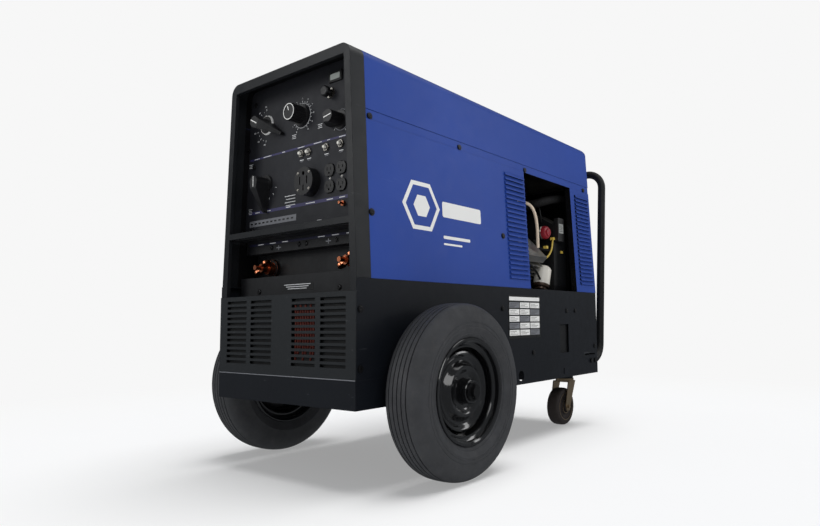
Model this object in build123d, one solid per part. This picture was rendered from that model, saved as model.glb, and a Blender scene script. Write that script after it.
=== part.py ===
from build123d import *
import math
import os

# Engine driven welder on wheels, in millimetres.
# X runs to the right side, Y from the control end to the rear, Z up from the floor.
# The origin is on the floor, under the middle of the machine.

# ---- overall sizes
base_length = 1156.0
base_width = 508.0
handle_reach = 165.0
tyre_radius = 203.0
axle_rise = 25.0
skid_height = 63.0
base_height = 218.0
body_height = 532.0
body_step_in = 1.0
body_lean_in = 26.5
body_corner_radius = 28.0
hood_height = 169.0
hood_overhang = 4.0
hood_rear_radius = 24.0
sheet = 2.0
skid_plate = 3.0
skid_flange = 45.0
gap = 0.3
running_clearance = 0.05
press_clearance = 0.02
stud_clearance = 0.1
cut = 1.0

overall_length = base_length + handle_reach
axle_height = tyre_radius
skid_bottom = axle_height - axle_rise
skid_top = skid_bottom + skid_height
base_top = skid_top + base_height
body_top = base_top + body_height
hood_seam = body_top - hood_height
body_half_bottom = base_width / 2 - body_step_in
body_half_top = body_half_bottom - body_lean_in
clear_half = base_width / 2 + 46

# ---- stations, measured back from the front face of the skid
bezel_start = 3.0
bezel_depth = 43.0
panel_setback = 61.0
rear_post_length = 144.0
door_opening_length = 302.0
hood_rear = base_length + hood_overhang
door_opening_end = hood_rear - rear_post_length
side_panel_end = door_opening_end - door_opening_length

# ---- skid and floor
tie_hole_station = base_length - 507
tie_hole_height = skid_bottom + 25
tie_hole_radius = 15.0
drain_slot_station = base_length - 248
drain_slot_width = 6.0
drain_slot_low = skid_bottom + 11
drain_slot_height = 20.0
cross_width = 110.0

# ---- front
vent_top = base_top - 28
vent_edge_margin = 31.0
vent_column_gap = 17.0
vent_top_margin = 11.0
vent_slot_width = 84.0
vent_slot_height = 7.0
vent_pitch = 13.4
vent_first_row = skid_top + 24.5
vent_rows = int((vent_top - vent_first_row - vent_top_margin) / vent_pitch) + 1
vent_lip_reach = 7.0
vent_lip_drop = 5.6
bezel_face = 20.0
bezel_lip_depth = 10.0
bezel_lip = 1.5
divider_low = base_top + 121
divider_bar = 16.0
divider_high = divider_low + divider_bar
window_top = body_top - 25
terminal_floor = base_top + 22
terminal_ceiling = divider_low - 35
terminal_back = 95.0
terminal_upper_face = 60.0
terminal_lower_face = 45.0
vent_outer_column = base_width / 2 - vent_edge_margin - vent_slot_width / 2
vent_inner_column = vent_outer_column - vent_slot_width - vent_column_gap
vent_columns = (-vent_outer_column, -vent_inner_column, vent_inner_column, vent_outer_column)

# ---- sides and rear
hood_step = 1.2
hood_step_height = 23.0
louvre_length = 105.0
louvre_margin = 7.0
louvre_crest = 4.0
louvre_pitch = 14.0
louvre_low = 26.0
louvre_top_margin = 29.0
louvre_slot = 7.5
louvre_rise = 5.0
louvre_skin = 1.2
post_louvre_length = 100.0
post_louvre_start = 30.0
jamb_width = 20.0
jamb_fold = 12.0
recess_low = skid_top + 17
recess_high = recess_low + 92
recess_start = base_length - 271
recess_length = 60.0
rear_notch_start = base_length - 96
rear_notch_length = 76.0
rear_notch_height = 6.0
lower_outlet_top_margin = 49.0
lower_outlet_low = skid_top + 49
lower_outlet_rows = int((base_top - lower_outlet_low - lower_outlet_top_margin) / louvre_pitch) + 1
lower_outlet_x = 110.0
lower_outlet_width = 140.0
upper_outlet_top_margin = 80.0
upper_outlet_low = base_top + 41
upper_outlet_rows = int((hood_seam - upper_outlet_low - upper_outlet_top_margin) / louvre_pitch) + 1
upper_outlet_x = 95.0
upper_outlet_width = 150.0

# ---- fasteners, as (station, height) or (station, height up the slope)
screw_head_radius = 7.0
screw_head_height = 3.0
screw_shank_radius = 3.0
screw_shank_length = 8.0
screw_hole_clearance = 0.5
base_screws = ((13.0, skid_top + 151), (13.0, skid_top + 24), (base_length - 599, skid_top + 157),
               (base_length - 437, skid_top + 26), (base_length - 221, skid_top + 153),
               (base_length - 161, skid_top + 153), (base_length - 20, skid_top + 31))
side_screws = ((54.0, 148.0), (side_panel_end - 137, 148.0))
hood_screw_height = hood_seam + 7
hood_screws = ((58.0, hood_screw_height), (390.0, hood_screw_height),
               (side_panel_end + 8, hood_screw_height), (hood_rear - 40, hood_screw_height))
handle_bolt_radius = 8.0
handle_bolt_head = 5.0
handle_bolts_from_rear = (20.0, 50.0)

# ---- left service door
hinge_radius = 4.0
hinge_pin_radius = 2.5
hinge_leaf = 16.0
hinge_length = 60.0
hinge_end_margin = 53.5
hinge_axis_out = 5.0
hinge_web = 3.0
door_clearance = 3.0
pull_width = 20.0
pull_height = 86.0
pull_depth = 14.0
pull_inset = 40.0

# ---- generator
shaft_height = skid_top + 189
shaft_radius = 15.0
rotor_radius = 100.0
rotor_inset = 30.0
coupling_inset = 40.0
coupling_radius = 45.0
air_gap = 1.0
stator_radius = 145.0
stator_shell = 8.0
stator_start = 165.0
engine_from_rear = 456.0
crankcase_start = base_length - engine_from_rear
stator_end = crankcase_start - 100
end_bell = 12.0
end_vents = 8
end_vent_radius = 14.0
end_vent_circle = stator_radius - 30
adapter_bore = 60.0
adapter_flange = 10.0
bearing_land = 20.0
shaft_relief = 3.0

# ---- engine
crankcase_length = 255.0
crankcase_half = 112.0
sump_height = skid_top + 59
sump_half = 100.0
sump_drop = 20.0
sump_rise = 60.0
cylinder_tilt = 45.0
cylinder_station = crankcase_start + 125
cylinder_length = base_width / 2 - 114
cylinder_bore_radius = 42.0
head_depth = 24.0
fin_size = 120.0
fin_thickness = 3.0
first_fin = 8.0
fin_count = 8
mount_height = 28.0
mount_radius = 25.0
mount_offset = 125.0
foot_half_width = 30.0
foot_half_length = 25.0
blower_depth = 90.0
blower_wall = 3.0
blower_inlet_radius = 115.0
blower_half_low = base_width / 2 - 104
blower_half = base_width / 2 - 54
blower_half_high = base_width / 2 - 134
blower_low = shaft_height - 145
blower_waist = shaft_height + 50
blower_shoulder = shaft_height + 260
blower_top = shaft_height + 305
flywheel_radius = 135.0
flywheel_plate = 12.0
flywheel_width = 30.0
flywheel_gap = 25.0
flywheel_blades = 12
blade_height = 40.0
blade_thickness = 3.0
carburettor_top = shaft_height + 260
carburettor_half = 32.0
carburettor_flange = 8.0
carburettor_bowl_radius = 16.0
carburettor_station = cylinder_station + 25
air_cleaner_height = 100.0
air_cleaner_half = base_width / 2 - 149
air_cleaner_length = 180.0
air_cleaner_corner = 30.0
air_cleaner_edge = 14.0
spigot_rise = 65.0
spigot_reach = 18.0
spigot_station = carburettor_station + 40
hose_radius = 13.0
muffler_radius = 58.0
muffler_length = base_width - 148
muffler_station = hood_rear - 75
muffler_height = body_top - 101
muffler_foot_inset = 20.0
exhaust_radius = 19.0
exhaust_wall = 2.0
exhaust_x = base_width / 2 - 134
exhaust_top = body_top + 19
exhaust_pipe_x = base_width / 2 - 104
exhaust_pipe_radius = 14.0
exhaust_pipe_low = shaft_height + 195
filter_boss_station = crankcase_start + 193
filter_boss_height = shaft_height + 20
filter_boss_radius = 16.0
filter_boss_start = 60.0
filter_boss_end = base_width / 2 - 49
filter_x = base_width / 2 - 76
filter_radius = 28.0
filter_height = 74.0
filter_neck = 8.0
filter_tilt = 17.0
dipstick_x = base_width / 2 - 134
dipstick_station = crankcase_start + 30
dipstick_tube_radius = 8.0
dipstick_tube_low = shaft_height + 20
dipstick_tube_top = shaft_height + 190
dipstick_blade_radius = 2.5
dipstick_length = 200.0
regulator_start = crankcase_start + crankcase_length + 5
regulator_low = shaft_height + 202
regulator_height = 80.0
regulator_length = 42.0
regulator_thickness = 16.0
pump_height = shaft_height + 230
pump_radius = 22.0
pump_x = base_width / 2 - 86
pump_length = 28.0
pump_cap_radius = 12.0
pump_cap_length = 6.0
pump_from_blower = 30.0
lead_end_gap = 2.6
bay_x = base_width / 2 - 69
cable_x = mount_offset + foot_half_width + 10

# ---- fuel tank
tank_start = stator_start
tank_end = stator_end
tank_half_width = base_width / 2 - 49
tank_over_stator = 65.0
tank_top = body_top - 91
tank_bottom = shaft_height + stator_radius + tank_over_stator
tank_corner = 24.0
tank_wall = 3.0
neck_x = 134 - base_width / 2
neck_station = 300.0
neck_radius = 28.0
neck_rise = 6.0
cap_radius = 38.0
cap_height = 17.0
cap_overlap = 4.0
cap_scallops = 10
strap_width = 20.0
strap_thickness = 2.0
support_inset = 60.0
support_width = 40.0
support_thickness = 3.0
support_height = 30.0

# ---- battery
battery_low_x = 39 - base_width / 2
battery_width = 185.0
battery_start = 14.0
battery_length = 126.0
battery_height = base_height - 48
battery_post_radius = 8.0
battery_post_height = 14.0
battery_post_inset = 22.0
battery_post_shares = (0.15, 0.85)

# ---- wheels and axle
axle_station = 245.0
axle_radius = 12.5
axle_end = 14.0
cotter_radius = 2.0
cotter_hole_radius = 2.2
cotter_inset = 6.0
cotter_half = 18.0
tyre_half_width = 51.0
tyre_crown_half = 36.0
tyre_crown_drop = 6.0
tyre_shoulder = 40.0
tyre_bulge = 30.0
tyre_grooves = (-24.0, -12.0, 0.0, 12.0, 24.0)
tyre_groove_width = 3.0
tyre_groove_depth = 3.0
wheel_to_base = 26.0
wheel_centre_x = base_width / 2 + wheel_to_base + tyre_half_width
rim_radius = tyre_radius - 88
rim_half_width = 44.0
rim_wall = 3.0
rim_flange = 8.0
rim_drop = 14.0
rim_dish = ((-6, 0), (-6, 0.24), (10, 0.48), (10, 0.775), (-2, 1), (2, 1), (16, 0.8), (16, 0.425),
            (0, 0.185), (0, 0))
bearing_radius = axle_radius + 5.5
bearing_length = 24.0
hub_radius = bearing_radius + 8
hub_half_length = 46.0
washer_radius = axle_radius + 9.5
washer_thickness = 3.0

# ---- casters and handle
caster_x = base_width / 2 - 102
caster_station = base_length - 58
caster_trail = 35.0
caster_head_height = 51.0
caster_wheel_radius = (skid_bottom - caster_head_height) / 2
caster_wheel_half = 22.0
caster_plate_half = 48.0
caster_plate_thickness = 5.0
caster_race_radius = 30.0
caster_race_height = 15.0
caster_crown_radius = 32.0
caster_crown = 8.0
caster_side_gap = 6.0
caster_leg = 3.0
caster_pin_radius = 6.0
caster_rim_radius = caster_wheel_radius - 19.5
caster_hub_radius = 20.0
caster_boss_radius = 16.0
caster_boss = 5.0
handle_tube_radius = 14.0
handle_wall = 2.0
handle_half_width = base_width / 2 - 26
handle_lean_in = 4.0
handle_insert = 70.0
handle_low = skid_top - 19
handle_foot_station = base_length + 74
handle_top = body_top - 60
handle_bend = 62.0

# ---- control panel: places are (x, z), and the rows spread with the height of the window
panel_rows_over = 386.0
row_unit = (window_top - divider_low) / panel_rows_over
range_switch_at = (-152.0, divider_low + 306 * row_unit)
fine_control_at = (-8.0, divider_low + 302 * row_unit)
process_switch_at = (-150.0, divider_low + 148 * row_unit)
engine_switch_at = (136.0, divider_low + 262 * row_unit)
choke_at = (99.0, divider_low + 335 * row_unit)
breaker_height = divider_low + 204 * row_unit
breakers_at = tuple((x, breaker_height) for x in (-8.0, 20.0, 85.0, 137.0))
receptacle_height = divider_low + 126 * row_unit
large_receptacle_at = (29.0, receptacle_height)
duplex_at = ((98.0, receptacle_height), (139.5, receptacle_height))
hour_meter_at = (117.0, divider_low + 372 * row_unit)
ground_stud_at = (147.0, divider_low + 60 * row_unit)
weld_stud_x = base_width / 2 - 94
weld_stud_height = terminal_floor + 26
weld_stud_radius = 6.35
weld_stud_reach = 52.0
insulator_radius = 24.0
insulator_neck_radius = 14.0
insulator_proud = 8.0
insulator_neck = 14.0
ground_stud_radius = 3.2
switch_shaft_radius = 4.0
switch_body = 52.0
switch_body_depth = 45.0
switch_hole_clearance = 1.0
shaft_reach = 18.0
bar_knob_length = 78.0
bar_knob_height = 42.0
bar_knob_radius = 15.0
bar_knob_skirt = 8.0
engine_knob_length = 40.0
fine_knob_radius = 22.0
fine_knob_skirt = 27.0
fine_knob_flutes = 14
button_radius = 4.0
button_proud = 7.0
button_collar = 2.7
button_hole_clearance = 3.0
choke_rod_radius = 3.0
choke_knob_radius = 13.0
large_receptacle_radius = 34.5
large_receptacle_proud = 25.0
duplex_radius = 17.0
duplex_pitch = 40 * row_unit
duplex_proud = 4.0
duplex_body_half = 52 * row_unit
duplex_body_width = 36.0
duplex_face = (34.0, 29.0)
breaker_body_half = (13.0, 17 * row_unit)
breaker_depth = 32.0
strap_depth = 22.0
meter_body_half = (18.5, 11.5)
meter_face_half = (23.0, 12.5)
meter_glass_half = (17.0, 7.0)
wing_hub_radius = 11.0
wing_base_radius = 16.0
wing_turn = 35.0

front = -overall_length / 2
base_rear = front + base_length
taper = (body_half_bottom - body_half_top) / body_height
taper_angle = math.degrees(math.atan(taper))
panel_face = front + panel_setback
knob_back = panel_face - gap
caster_gap = skid_bottom - caster_plate_thickness
foot_top = skid_top + sheet + mount_height
skin_height = (hood_seam - base_top) / math.cos(math.radians(taper_angle))
louvre_count = int((skin_height - louvre_low - louvre_top_margin) / louvre_pitch) + 1
cross_stations = (axle_station, 430.0, crankcase_start + 100)
hinge_places = (60.0, skin_height - hinge_length - hinge_end_margin)
mount_stations = (stator_start + 85, stator_end - 80, crankcase_start + 60, crankcase_start + 200)


# ---- helpers

def station(distance):
    """Y of a distance measured back from the front."""
    return front + distance


def body_half(height):
    """Half width of the tapered body's outer face at a height."""
    return body_half_bottom - taper * (max(height, base_top) - base_top)


def block(x0, x1, y0, y1, z0, z1):
    """A box between two corners."""
    centre = Pos((x0 + x1) / 2, (y0 + y1) / 2, (z0 + z1) / 2)
    return centre * Box(abs(x1 - x0), abs(y1 - y0), abs(z1 - z0))


def rod(radius, start, end):
    """A round bar from one point to another."""
    axis = Vector(*end) - Vector(*start)
    plane = Plane(origin=start, z_dir=axis)
    return extrude(plane * Circle(radius), amount=axis.length)


def ring(outer, inner, start, end):
    """A tube from one point to another, with its bore running past both ends."""
    axis = (Vector(*end) - Vector(*start)).normalized()
    bore = rod(inner, Vector(*start) - axis, Vector(*end) + axis)
    return rod(outer, start, end) - bore


def slab_xz(points, y0, y1):
    """A polygon of (x, z) points, extruded along Y."""
    plane = Plane(origin=(0, y0, 0), x_dir=(1, 0, 0), z_dir=(0, -1, 0))
    return extrude(plane * Polygon(*points, align=None), amount=y1 - y0, dir=(0, 1, 0))


def slab_yz(points, x0, x1):
    """A polygon of (y, z) points, extruded along X."""
    plane = Plane(origin=(x0, 0, 0), x_dir=(0, 1, 0), z_dir=(1, 0, 0))
    return extrude(plane * Polygon(*points, align=None), amount=x1 - x0, dir=(1, 0, 0))


def hose(points, bends, radius):
    """A round hose or bent bar along straight runs joined by arcs."""
    path = FilletPolyline(*points, radius=bends)
    start = Plane(origin=path @ 0, z_dir=path % 0)
    return sweep(start * Circle(radius), path=path)


def body_prism(inset, y0, y1, low):
    """The body's tapered section, moved in by inset, between two stations along Y."""
    foot = body_half(low) - inset
    shoulder = body_half_top - inset
    roof = body_top - inset
    points = [(-foot, low), (foot, low), (shoulder, roof), (-shoulder, roof)]
    if low < base_top:
        points = [(-foot, low), (foot, low), (foot, base_top),
                  (shoulder, roof), (-shoulder, roof), (-foot, base_top)]
    outline = Polygon(*points, align=None)
    corners = outline.vertices().filter_by(lambda corner: corner.Y > roof - 1)
    outline = fillet(corners, max(body_corner_radius - inset, 1.0))
    plane = Plane(origin=(0, y0, 0), x_dir=(1, 0, 0), z_dir=(0, -1, 0))
    return extrude(plane * outline, amount=y1 - y0, dir=(0, 1, 0))


def side_plane(distance):
    """Plane on the right side's outer face: x back along Y, y up the slope, z outward."""
    lean = math.radians(taper_angle)
    normal = (math.cos(lean), 0, math.sin(lean))
    return Plane(origin=(body_half_bottom, station(distance), base_top + gap), x_dir=(0, 1, 0), z_dir=normal)


def panel_plane(place, y):
    """Plane facing the operator at (x, z): x to the right, y up, z towards the operator."""
    return Plane(origin=(place[0], y, place[1]), x_dir=(1, 0, 0), z_dir=(0, -1, 0))


def mirrored(shape):
    """The same shape on the left side."""
    return mirror(shape, about=Plane.YZ)


def polar(count, radius):
    """Evenly spaced angles' points on a circle, as (x, y)."""
    angles = [2 * math.pi * index / count for index in range(count)]
    return [(radius * math.cos(angle), radius * math.sin(angle)) for angle in angles]


# ---- skid and base

def axle_holes():
    reach = base_width / 2 + 1
    y = station(axle_station)
    return rod(axle_radius + gap, (-reach, y, axle_height), (reach, y, axle_height))


def handle_holes():
    radius = handle_tube_radius + gap
    y0 = base_rear - skid_plate - 1
    holes = [rod(radius, (x, y0, handle_low), (x, base_rear + 1, handle_low))
             for x in (-handle_half_width, handle_half_width)]
    return holes[0] + holes[1]


def skid_frame():
    """A ring of channel, open to the inside, with tie-down holes in both webs."""
    half = base_width / 2
    lip = half - skid_flange
    web = half - skid_plate
    frame = block(-half, half, front, base_rear, skid_bottom, skid_top)
    frame -= block(-lip, lip, front + skid_flange, base_rear - skid_flange, skid_bottom - 1, skid_top + 1)
    frame -= block(-web, web, front + skid_plate, base_rear - skid_plate,
                   skid_bottom + skid_plate, skid_top - skid_plate)
    y = station(tie_hole_station)
    frame -= rod(tie_hole_radius, (-half - 1, y, tie_hole_height), (half + 1, y, tie_hole_height))
    slot_y = station(drain_slot_station)
    frame -= block(-half - cut, half + cut, slot_y - drain_slot_width / 2, slot_y + drain_slot_width / 2,
                   drain_slot_low, drain_slot_low + drain_slot_height)
    return frame - axle_holes() - handle_holes()


def floor_pan():
    """The floor plate on the skid, inside the base panels."""
    half = base_width / 2 - sheet - gap
    return block(-half, half, front + sheet + gap, base_rear - sheet - gap, skid_top, skid_top + sheet)


def cross_channel(distance, web_on_top):
    """One channel across the skid; its open side faces down or up."""
    y0 = station(distance) - cross_width / 2
    y1 = y0 + cross_width
    if web_on_top:
        half = base_width / 2 - skid_plate
        low = skid_bottom + skid_plate
        high = skid_top - skid_plate
        inner = block(-half - 1, half + 1, y0 + skid_plate, y1 - skid_plate, low - 1, high - skid_plate)
    else:
        half = base_width / 2 - skid_flange
        low = skid_bottom
        high = skid_top
        y1 = base_rear - skid_flange
        y0 = y1 - cross_width
        inner = block(-half - 1, half + 1, y0 + skid_plate, y1 - skid_plate, low + skid_plate, high + 1)
    return block(-half, half, y0, y1, low, high) - inner


def cross_members():
    """Channels under the axle, generator and engine, and a plate channel over the casters."""
    channels = [cross_channel(distance, True) for distance in cross_stations]
    channels.append(cross_channel(caster_station, False))
    return channels


def base_side_panel():
    """Right base panel: flat sheet with a top flange, a recess cut-out and a rear notch."""
    outer = base_width / 2
    y0 = front + sheet
    y1 = base_rear
    panel = block(outer - sheet, outer, y0, y1, skid_top, base_top)
    panel += block(outer - jamb_width, outer, y0 + bezel_start + gap, y1 - sheet - gap,
                   base_top - sheet, base_top)
    start = station(recess_start)
    panel -= block(outer - sheet - 1, outer + 1, start, start + recess_length, recess_low, recess_high)
    notch = station(rear_notch_start)
    panel -= block(outer - sheet - cut, outer + cut, notch, notch + rear_notch_length,
                   skid_top - cut, skid_top + rear_notch_height)
    for place in base_screws:
        panel -= base_screw(place, screw_shank_radius + screw_hole_clearance, 0)
    return panel


def base_screw(place, shank, head):
    """A screw through the right base panel at (distance, height)."""
    x = base_width / 2
    at = (station(place[0]), place[1])
    body = rod(shank, (x - screw_shank_length, *at), (x, *at))
    if head == 0:
        return body + rod(shank, (x, *at), (x + 1, *at))
    return body + rod(head, (x, *at), (x + screw_head_height, *at))


def base_side_panels():
    right = base_side_panel()
    return [right, mirrored(right)]


def front_vent_panel():
    """Front lower panel with four columns of louvre slots and a top flange."""
    half = base_width / 2
    panel = block(-half, half, front, front + sheet, skid_top, vent_top)
    flange_half = half - sheet - gap
    panel += block(-flange_half, flange_half, front, front + terminal_upper_face, vent_top - sheet, vent_top)
    for column in vent_columns:
        for row in range(vent_rows):
            low = vent_first_row + row * vent_pitch
            x0 = column - vent_slot_width / 2
            x1 = column + vent_slot_width / 2
            panel -= block(x0, x1, front - 1, front + sheet + 1, low, low + vent_slot_height)
            lip = [(front, low), (front + sheet, low), (front + vent_lip_reach, low - vent_lip_drop + 1),
                   (front + vent_lip_reach - 1, low - vent_lip_drop), (front, low - 1)]
            panel += slab_yz(lip, x0, x1)
    return panel


def base_rear_panel():
    """Rear lower panel with outlet slots."""
    half = base_width / 2 - sheet - gap
    panel = block(-half, half, base_rear - sheet, base_rear, skid_top, base_top)
    reach = lower_outlet_width / 2
    for row in range(lower_outlet_rows):
        z = lower_outlet_low + row * louvre_pitch
        for side in (-1, 1):
            x = side * lower_outlet_x
            panel -= block(x - reach, x + reach, base_rear - sheet - cut, base_rear + cut, z, z + louvre_slot)
    return panel


# ---- front frame and panels

def window(low, high, inset, y0, y1):
    """The bezel's tapered window between two heights."""
    foot = body_half(low) - inset
    head = body_half(high) - inset
    return slab_xz([(-foot, low), (foot, low), (head, high), (-head, high)], y0, y1)


def front_bezel():
    """Picture-frame bezel with rounded top corners, a divider bar and lips round both windows."""
    y0 = front + bezel_start
    y1 = y0 + bezel_depth
    bezel = body_prism(0, y0, y1, vent_top) - body_prism(sheet, y0 + sheet, y1 + 1, vent_top - 1)
    clear = base_width / 2 + 1
    bezel -= block(-clear, clear, y0 + sheet, y1 + 1, vent_top - 1, base_top + gap)
    tuck = base_width / 2 - sheet - gap
    for side in (-1, 1):
        bezel -= block(side * tuck, side * clear, y0 - 1, y1 + 1, vent_top - 1, base_top + gap)
    lip_end = y0 + bezel_lip_depth
    for low, high in ((vent_top, divider_low), (divider_high, window_top)):
        rim = window(low, high + bezel_lip, bezel_face - bezel_lip, y0 + sheet, lip_end)
        bezel += rim
        bezel -= window(low - 1, high, bezel_face, y0 - 1, lip_end + 1)
    return bezel


def control_panel():
    """The recessed control panel, with return flanges and a hole for each control."""
    y0 = panel_face
    panel = body_prism(sheet + gap, y0, y0 + sheet, divider_low)
    shell = body_prism(sheet + gap, y0, y0 + jamb_width, divider_low)
    panel += shell - body_prism(2 * sheet + gap, y0 + sheet, y0 + jamb_width + 1, divider_low - 1)
    for place in (range_switch_at, process_switch_at, engine_switch_at, fine_control_at):
        panel -= panel_hole(place, switch_shaft_radius + switch_hole_clearance)
    panel -= panel_hole(choke_at, choke_rod_radius + button_hole_clearance)
    for place in breakers_at:
        panel -= panel_hole(place, button_radius + button_hole_clearance)
    panel -= panel_hole(large_receptacle_at, large_receptacle_radius + gap)
    for place in duplex_at:
        for side in (-1, 1):
            panel -= panel_hole((place[0], place[1] + side * duplex_pitch / 2), duplex_radius + gap)
    x, z = hour_meter_at
    half_x, half_z = meter_body_half
    panel -= block(x - half_x - 0.5, x + half_x + 0.5, y0 - cut, y0 + sheet + cut,
                   z - half_z - 0.5, z + half_z + 0.5)
    panel -= panel_hole(ground_stud_at, ground_stud_radius + gap)
    return panel


def panel_hole(place, radius):
    return rod(radius, (place[0], panel_face - 1, place[1]), (place[0], panel_face + sheet + 1, place[1]))


def terminal_panel():
    """Folded sheet behind the lower window: ceiling, upper face, recess and lower face."""
    back = front + terminal_back
    upper = front + terminal_upper_face
    lower = front + terminal_lower_face
    start = front + bezel_start + bezel_lip_depth + gap
    roof = divider_low - sheet
    half = base_width / 2 - jamb_width - 1
    line = [(start, roof), (upper, roof), (upper, terminal_ceiling), (back, terminal_ceiling),
            (back, terminal_floor), (lower, terminal_floor), (lower, vent_top)]
    outer = [(start, roof + sheet), (upper + sheet, roof + sheet), (upper + sheet, terminal_ceiling + sheet),
             (back + sheet, terminal_ceiling + sheet), (back + sheet, terminal_floor - sheet),
             (lower + sheet, terminal_floor - sheet), (lower + sheet, vent_top)]
    panel = slab_yz(line + outer[::-1], -half, half)
    for side in (-1, 1):
        x = side * weld_stud_x
        panel -= rod(insulator_neck_radius + gap, (x, back - 1, weld_stud_height),
                     (x, back + sheet + 1, weld_stud_height))
    return panel


# ---- louvred skins

def louvre(length, low):
    """One louvre hood on a sheet's plane: x along it, y up, z outward."""
    side = Plane(origin=(0, 0, 0), x_dir=(0, 1, 0), z_dir=(1, 0, 0))
    crest = low + louvre_slot + louvre_crest
    under = louvre_rise - louvre_skin
    strip = [(crest, 0), (low + louvre_crest, louvre_rise), (low, louvre_rise), (low, under),
             (low + louvre_crest - 0.4, under), (crest - 2 * louvre_skin, 0)]
    cheek = [(crest, 0), (low + louvre_crest, louvre_rise), (low, louvre_rise), (low, 0)]
    along = (1, 0, 0)
    hood_strip = extrude(side * Polygon(*strip, align=None), amount=length, dir=along)
    first = extrude(side * Polygon(*cheek, align=None), amount=louvre_skin, dir=along)
    last = Pos(length - louvre_skin, 0, 0) * first
    return hood_strip + first + last


def louvred_sheet(length, height, start, run, thickness):
    """A flat sheet with a column of louvres; x along the sheet, y up, z outward."""
    panel = Pos(length / 2, height / 2, -thickness / 2) * Box(length, height, thickness)
    for row in range(louvre_count):
        low = louvre_low + row * louvre_pitch
        slot = Pos(start + run / 2, low + louvre_slot / 2, -thickness / 2)
        panel -= slot * Box(run - 2 * louvre_skin, louvre_slot, thickness * 2)
    for row in range(louvre_count):
        panel += Pos(start, 0, 0) * louvre(run, louvre_low + row * louvre_pitch)
    return panel


def jamb(x):
    """A flange turned in from a skin's upright edge, clear of the base's flange."""
    height = skin_height - gap - sheet
    return Pos(x, sheet + height / 2, -jamb_width / 2) * Box(sheet, height, jamb_width)


def side_panel():
    """Right side panel: tapered sheet with a louvre column and a rear jamb flange."""
    start = bezel_start + bezel_depth
    length = side_panel_end - start - gap
    louvre_start = length + gap - louvre_length - louvre_margin
    panel = louvred_sheet(length, skin_height - gap, louvre_start, louvre_length, sheet)
    panel += jamb(length - sheet / 2)
    for place in side_screws:
        spot = Pos(place[0] - start, place[1], -sheet / 2)
        panel -= spot * Cylinder(screw_shank_radius + screw_hole_clearance, sheet * 2)
    return side_plane(start) * panel


def rear_post():
    """Right rear post: louvred sheet with jamb flanges at its front and rear edges."""
    length = hood_rear - door_opening_end
    panel = louvred_sheet(length, skin_height - gap, post_louvre_start, post_louvre_length, sheet)
    for x in (sheet / 2, length - sheet / 2):
        panel += jamb(x)
    return side_plane(door_opening_end) * panel


def rear_posts():
    right = rear_post()
    return [right, mirrored(right)]


def rounded_rear(y0, y1, top, radius):
    """A block over the hood seam whose upper rear edge is round."""
    solid = block(-clear_half, clear_half, y0, y1, hood_seam, top)
    corner = solid.edges().filter_by(Axis.X).filter_by(lambda edge: edge.center().Z > top - 1)
    return fillet(corner.sort_by(Axis.Y)[-1:], radius)


def hood():
    """One-piece hood with rounded edges, a stepped lower flange, and filler and exhaust holes."""
    y0 = front + bezel_start + bezel_depth
    y1 = station(hood_rear)
    outer = body_prism(0, y0, y1, base_top) & rounded_rear(y0, y1, body_top, hood_rear_radius)
    inner = body_prism(sheet, y0 - 1, y1 - sheet, base_top - 5)
    inner &= rounded_rear(y0 - 1, y1 - sheet, body_top - sheet, hood_rear_radius - sheet)
    shell = outer - inner
    step_high = hood_seam + hood_step_height
    band = body_prism(-5, y0 - 1, y1 + 5, base_top) - body_prism(hood_step, y0 - 2, y1 - hood_step, base_top)
    band -= block(-clear_half, clear_half, y0 - 3, y1 + 9, 0, hood_seam - cut)
    band -= block(-clear_half, clear_half, y0 - 3, y1 + 9, step_high, body_top + 9)
    shell -= band
    for x, y, radius in ((neck_x, station(neck_station), neck_radius + 5),
                         (exhaust_x, station(muffler_station), exhaust_radius + 3)):
        shell -= rod(radius, (x, y, body_top - 20), (x, y, body_top + 5))
    for place in hood_screws:
        screw = hood_screw(place, screw_shank_radius + screw_hole_clearance, 0)
        shell -= screw
        shell -= mirrored(screw)
    return shell


def hood_screw(place, shank, head):
    """A screw through the hood's right lower flange at (distance, height)."""
    rise = (place[1] - base_top) / math.cos(math.radians(taper_angle))
    spot = side_plane(place[0]) * Pos(0, rise, -hood_step)
    body = spot * Pos(0, 0, -screw_shank_length / 2) * Cylinder(shank, screw_shank_length)
    if head == 0:
        return body + spot * Pos(0, 0, 1) * Cylinder(shank, 2)
    return body + spot * Pos(0, 0, screw_head_height / 2) * Cylinder(head, screw_head_height)


def side_screw(place):
    """A screw through the right side panel at (distance, height up the slope)."""
    spot = side_plane(place[0]) * Pos(0, place[1], 0)
    body = spot * Pos(0, 0, -screw_shank_length / 2) * Cylinder(screw_shank_radius, screw_shank_length)
    return body + spot * Pos(0, 0, screw_head_height / 2) * Cylinder(screw_head_radius, screw_head_height)


def panel_screws():
    """Every screw of the skins: base panels, side panels and hood, on both sides."""
    right = [base_screw(place, screw_shank_radius, screw_head_radius) for place in base_screws]
    right += [side_screw(place) for place in side_screws]
    right += [hood_screw(place, screw_shank_radius, screw_head_radius) for place in hood_screws]
    return right + [mirrored(screw) for screw in right]


def rear_panel():
    """Upper rear panel between the posts, with two columns of outlet slots."""
    y1 = station(hood_rear) - sheet - gap
    inset = sheet + gap
    foot = body_half(base_top) - inset
    head = body_half(hood_seam) - inset
    low = base_top + gap
    panel = slab_xz([(-foot, low), (foot, low), (head, hood_seam), (-head, hood_seam)], y1 - sheet, y1)
    reach = upper_outlet_width / 2
    for row in range(upper_outlet_rows):
        z = upper_outlet_low + row * louvre_pitch
        for side in (-1, 1):
            x = side * upper_outlet_x
            panel -= block(x - reach, x + reach, y1 - sheet - cut, y1 + cut, z, z + louvre_slot)
    return panel


# ---- left service door

def hinge_plane():
    """Plane on the right side's outer face at the hinge line; x points away from the door."""
    return side_plane(door_opening_end)


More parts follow.
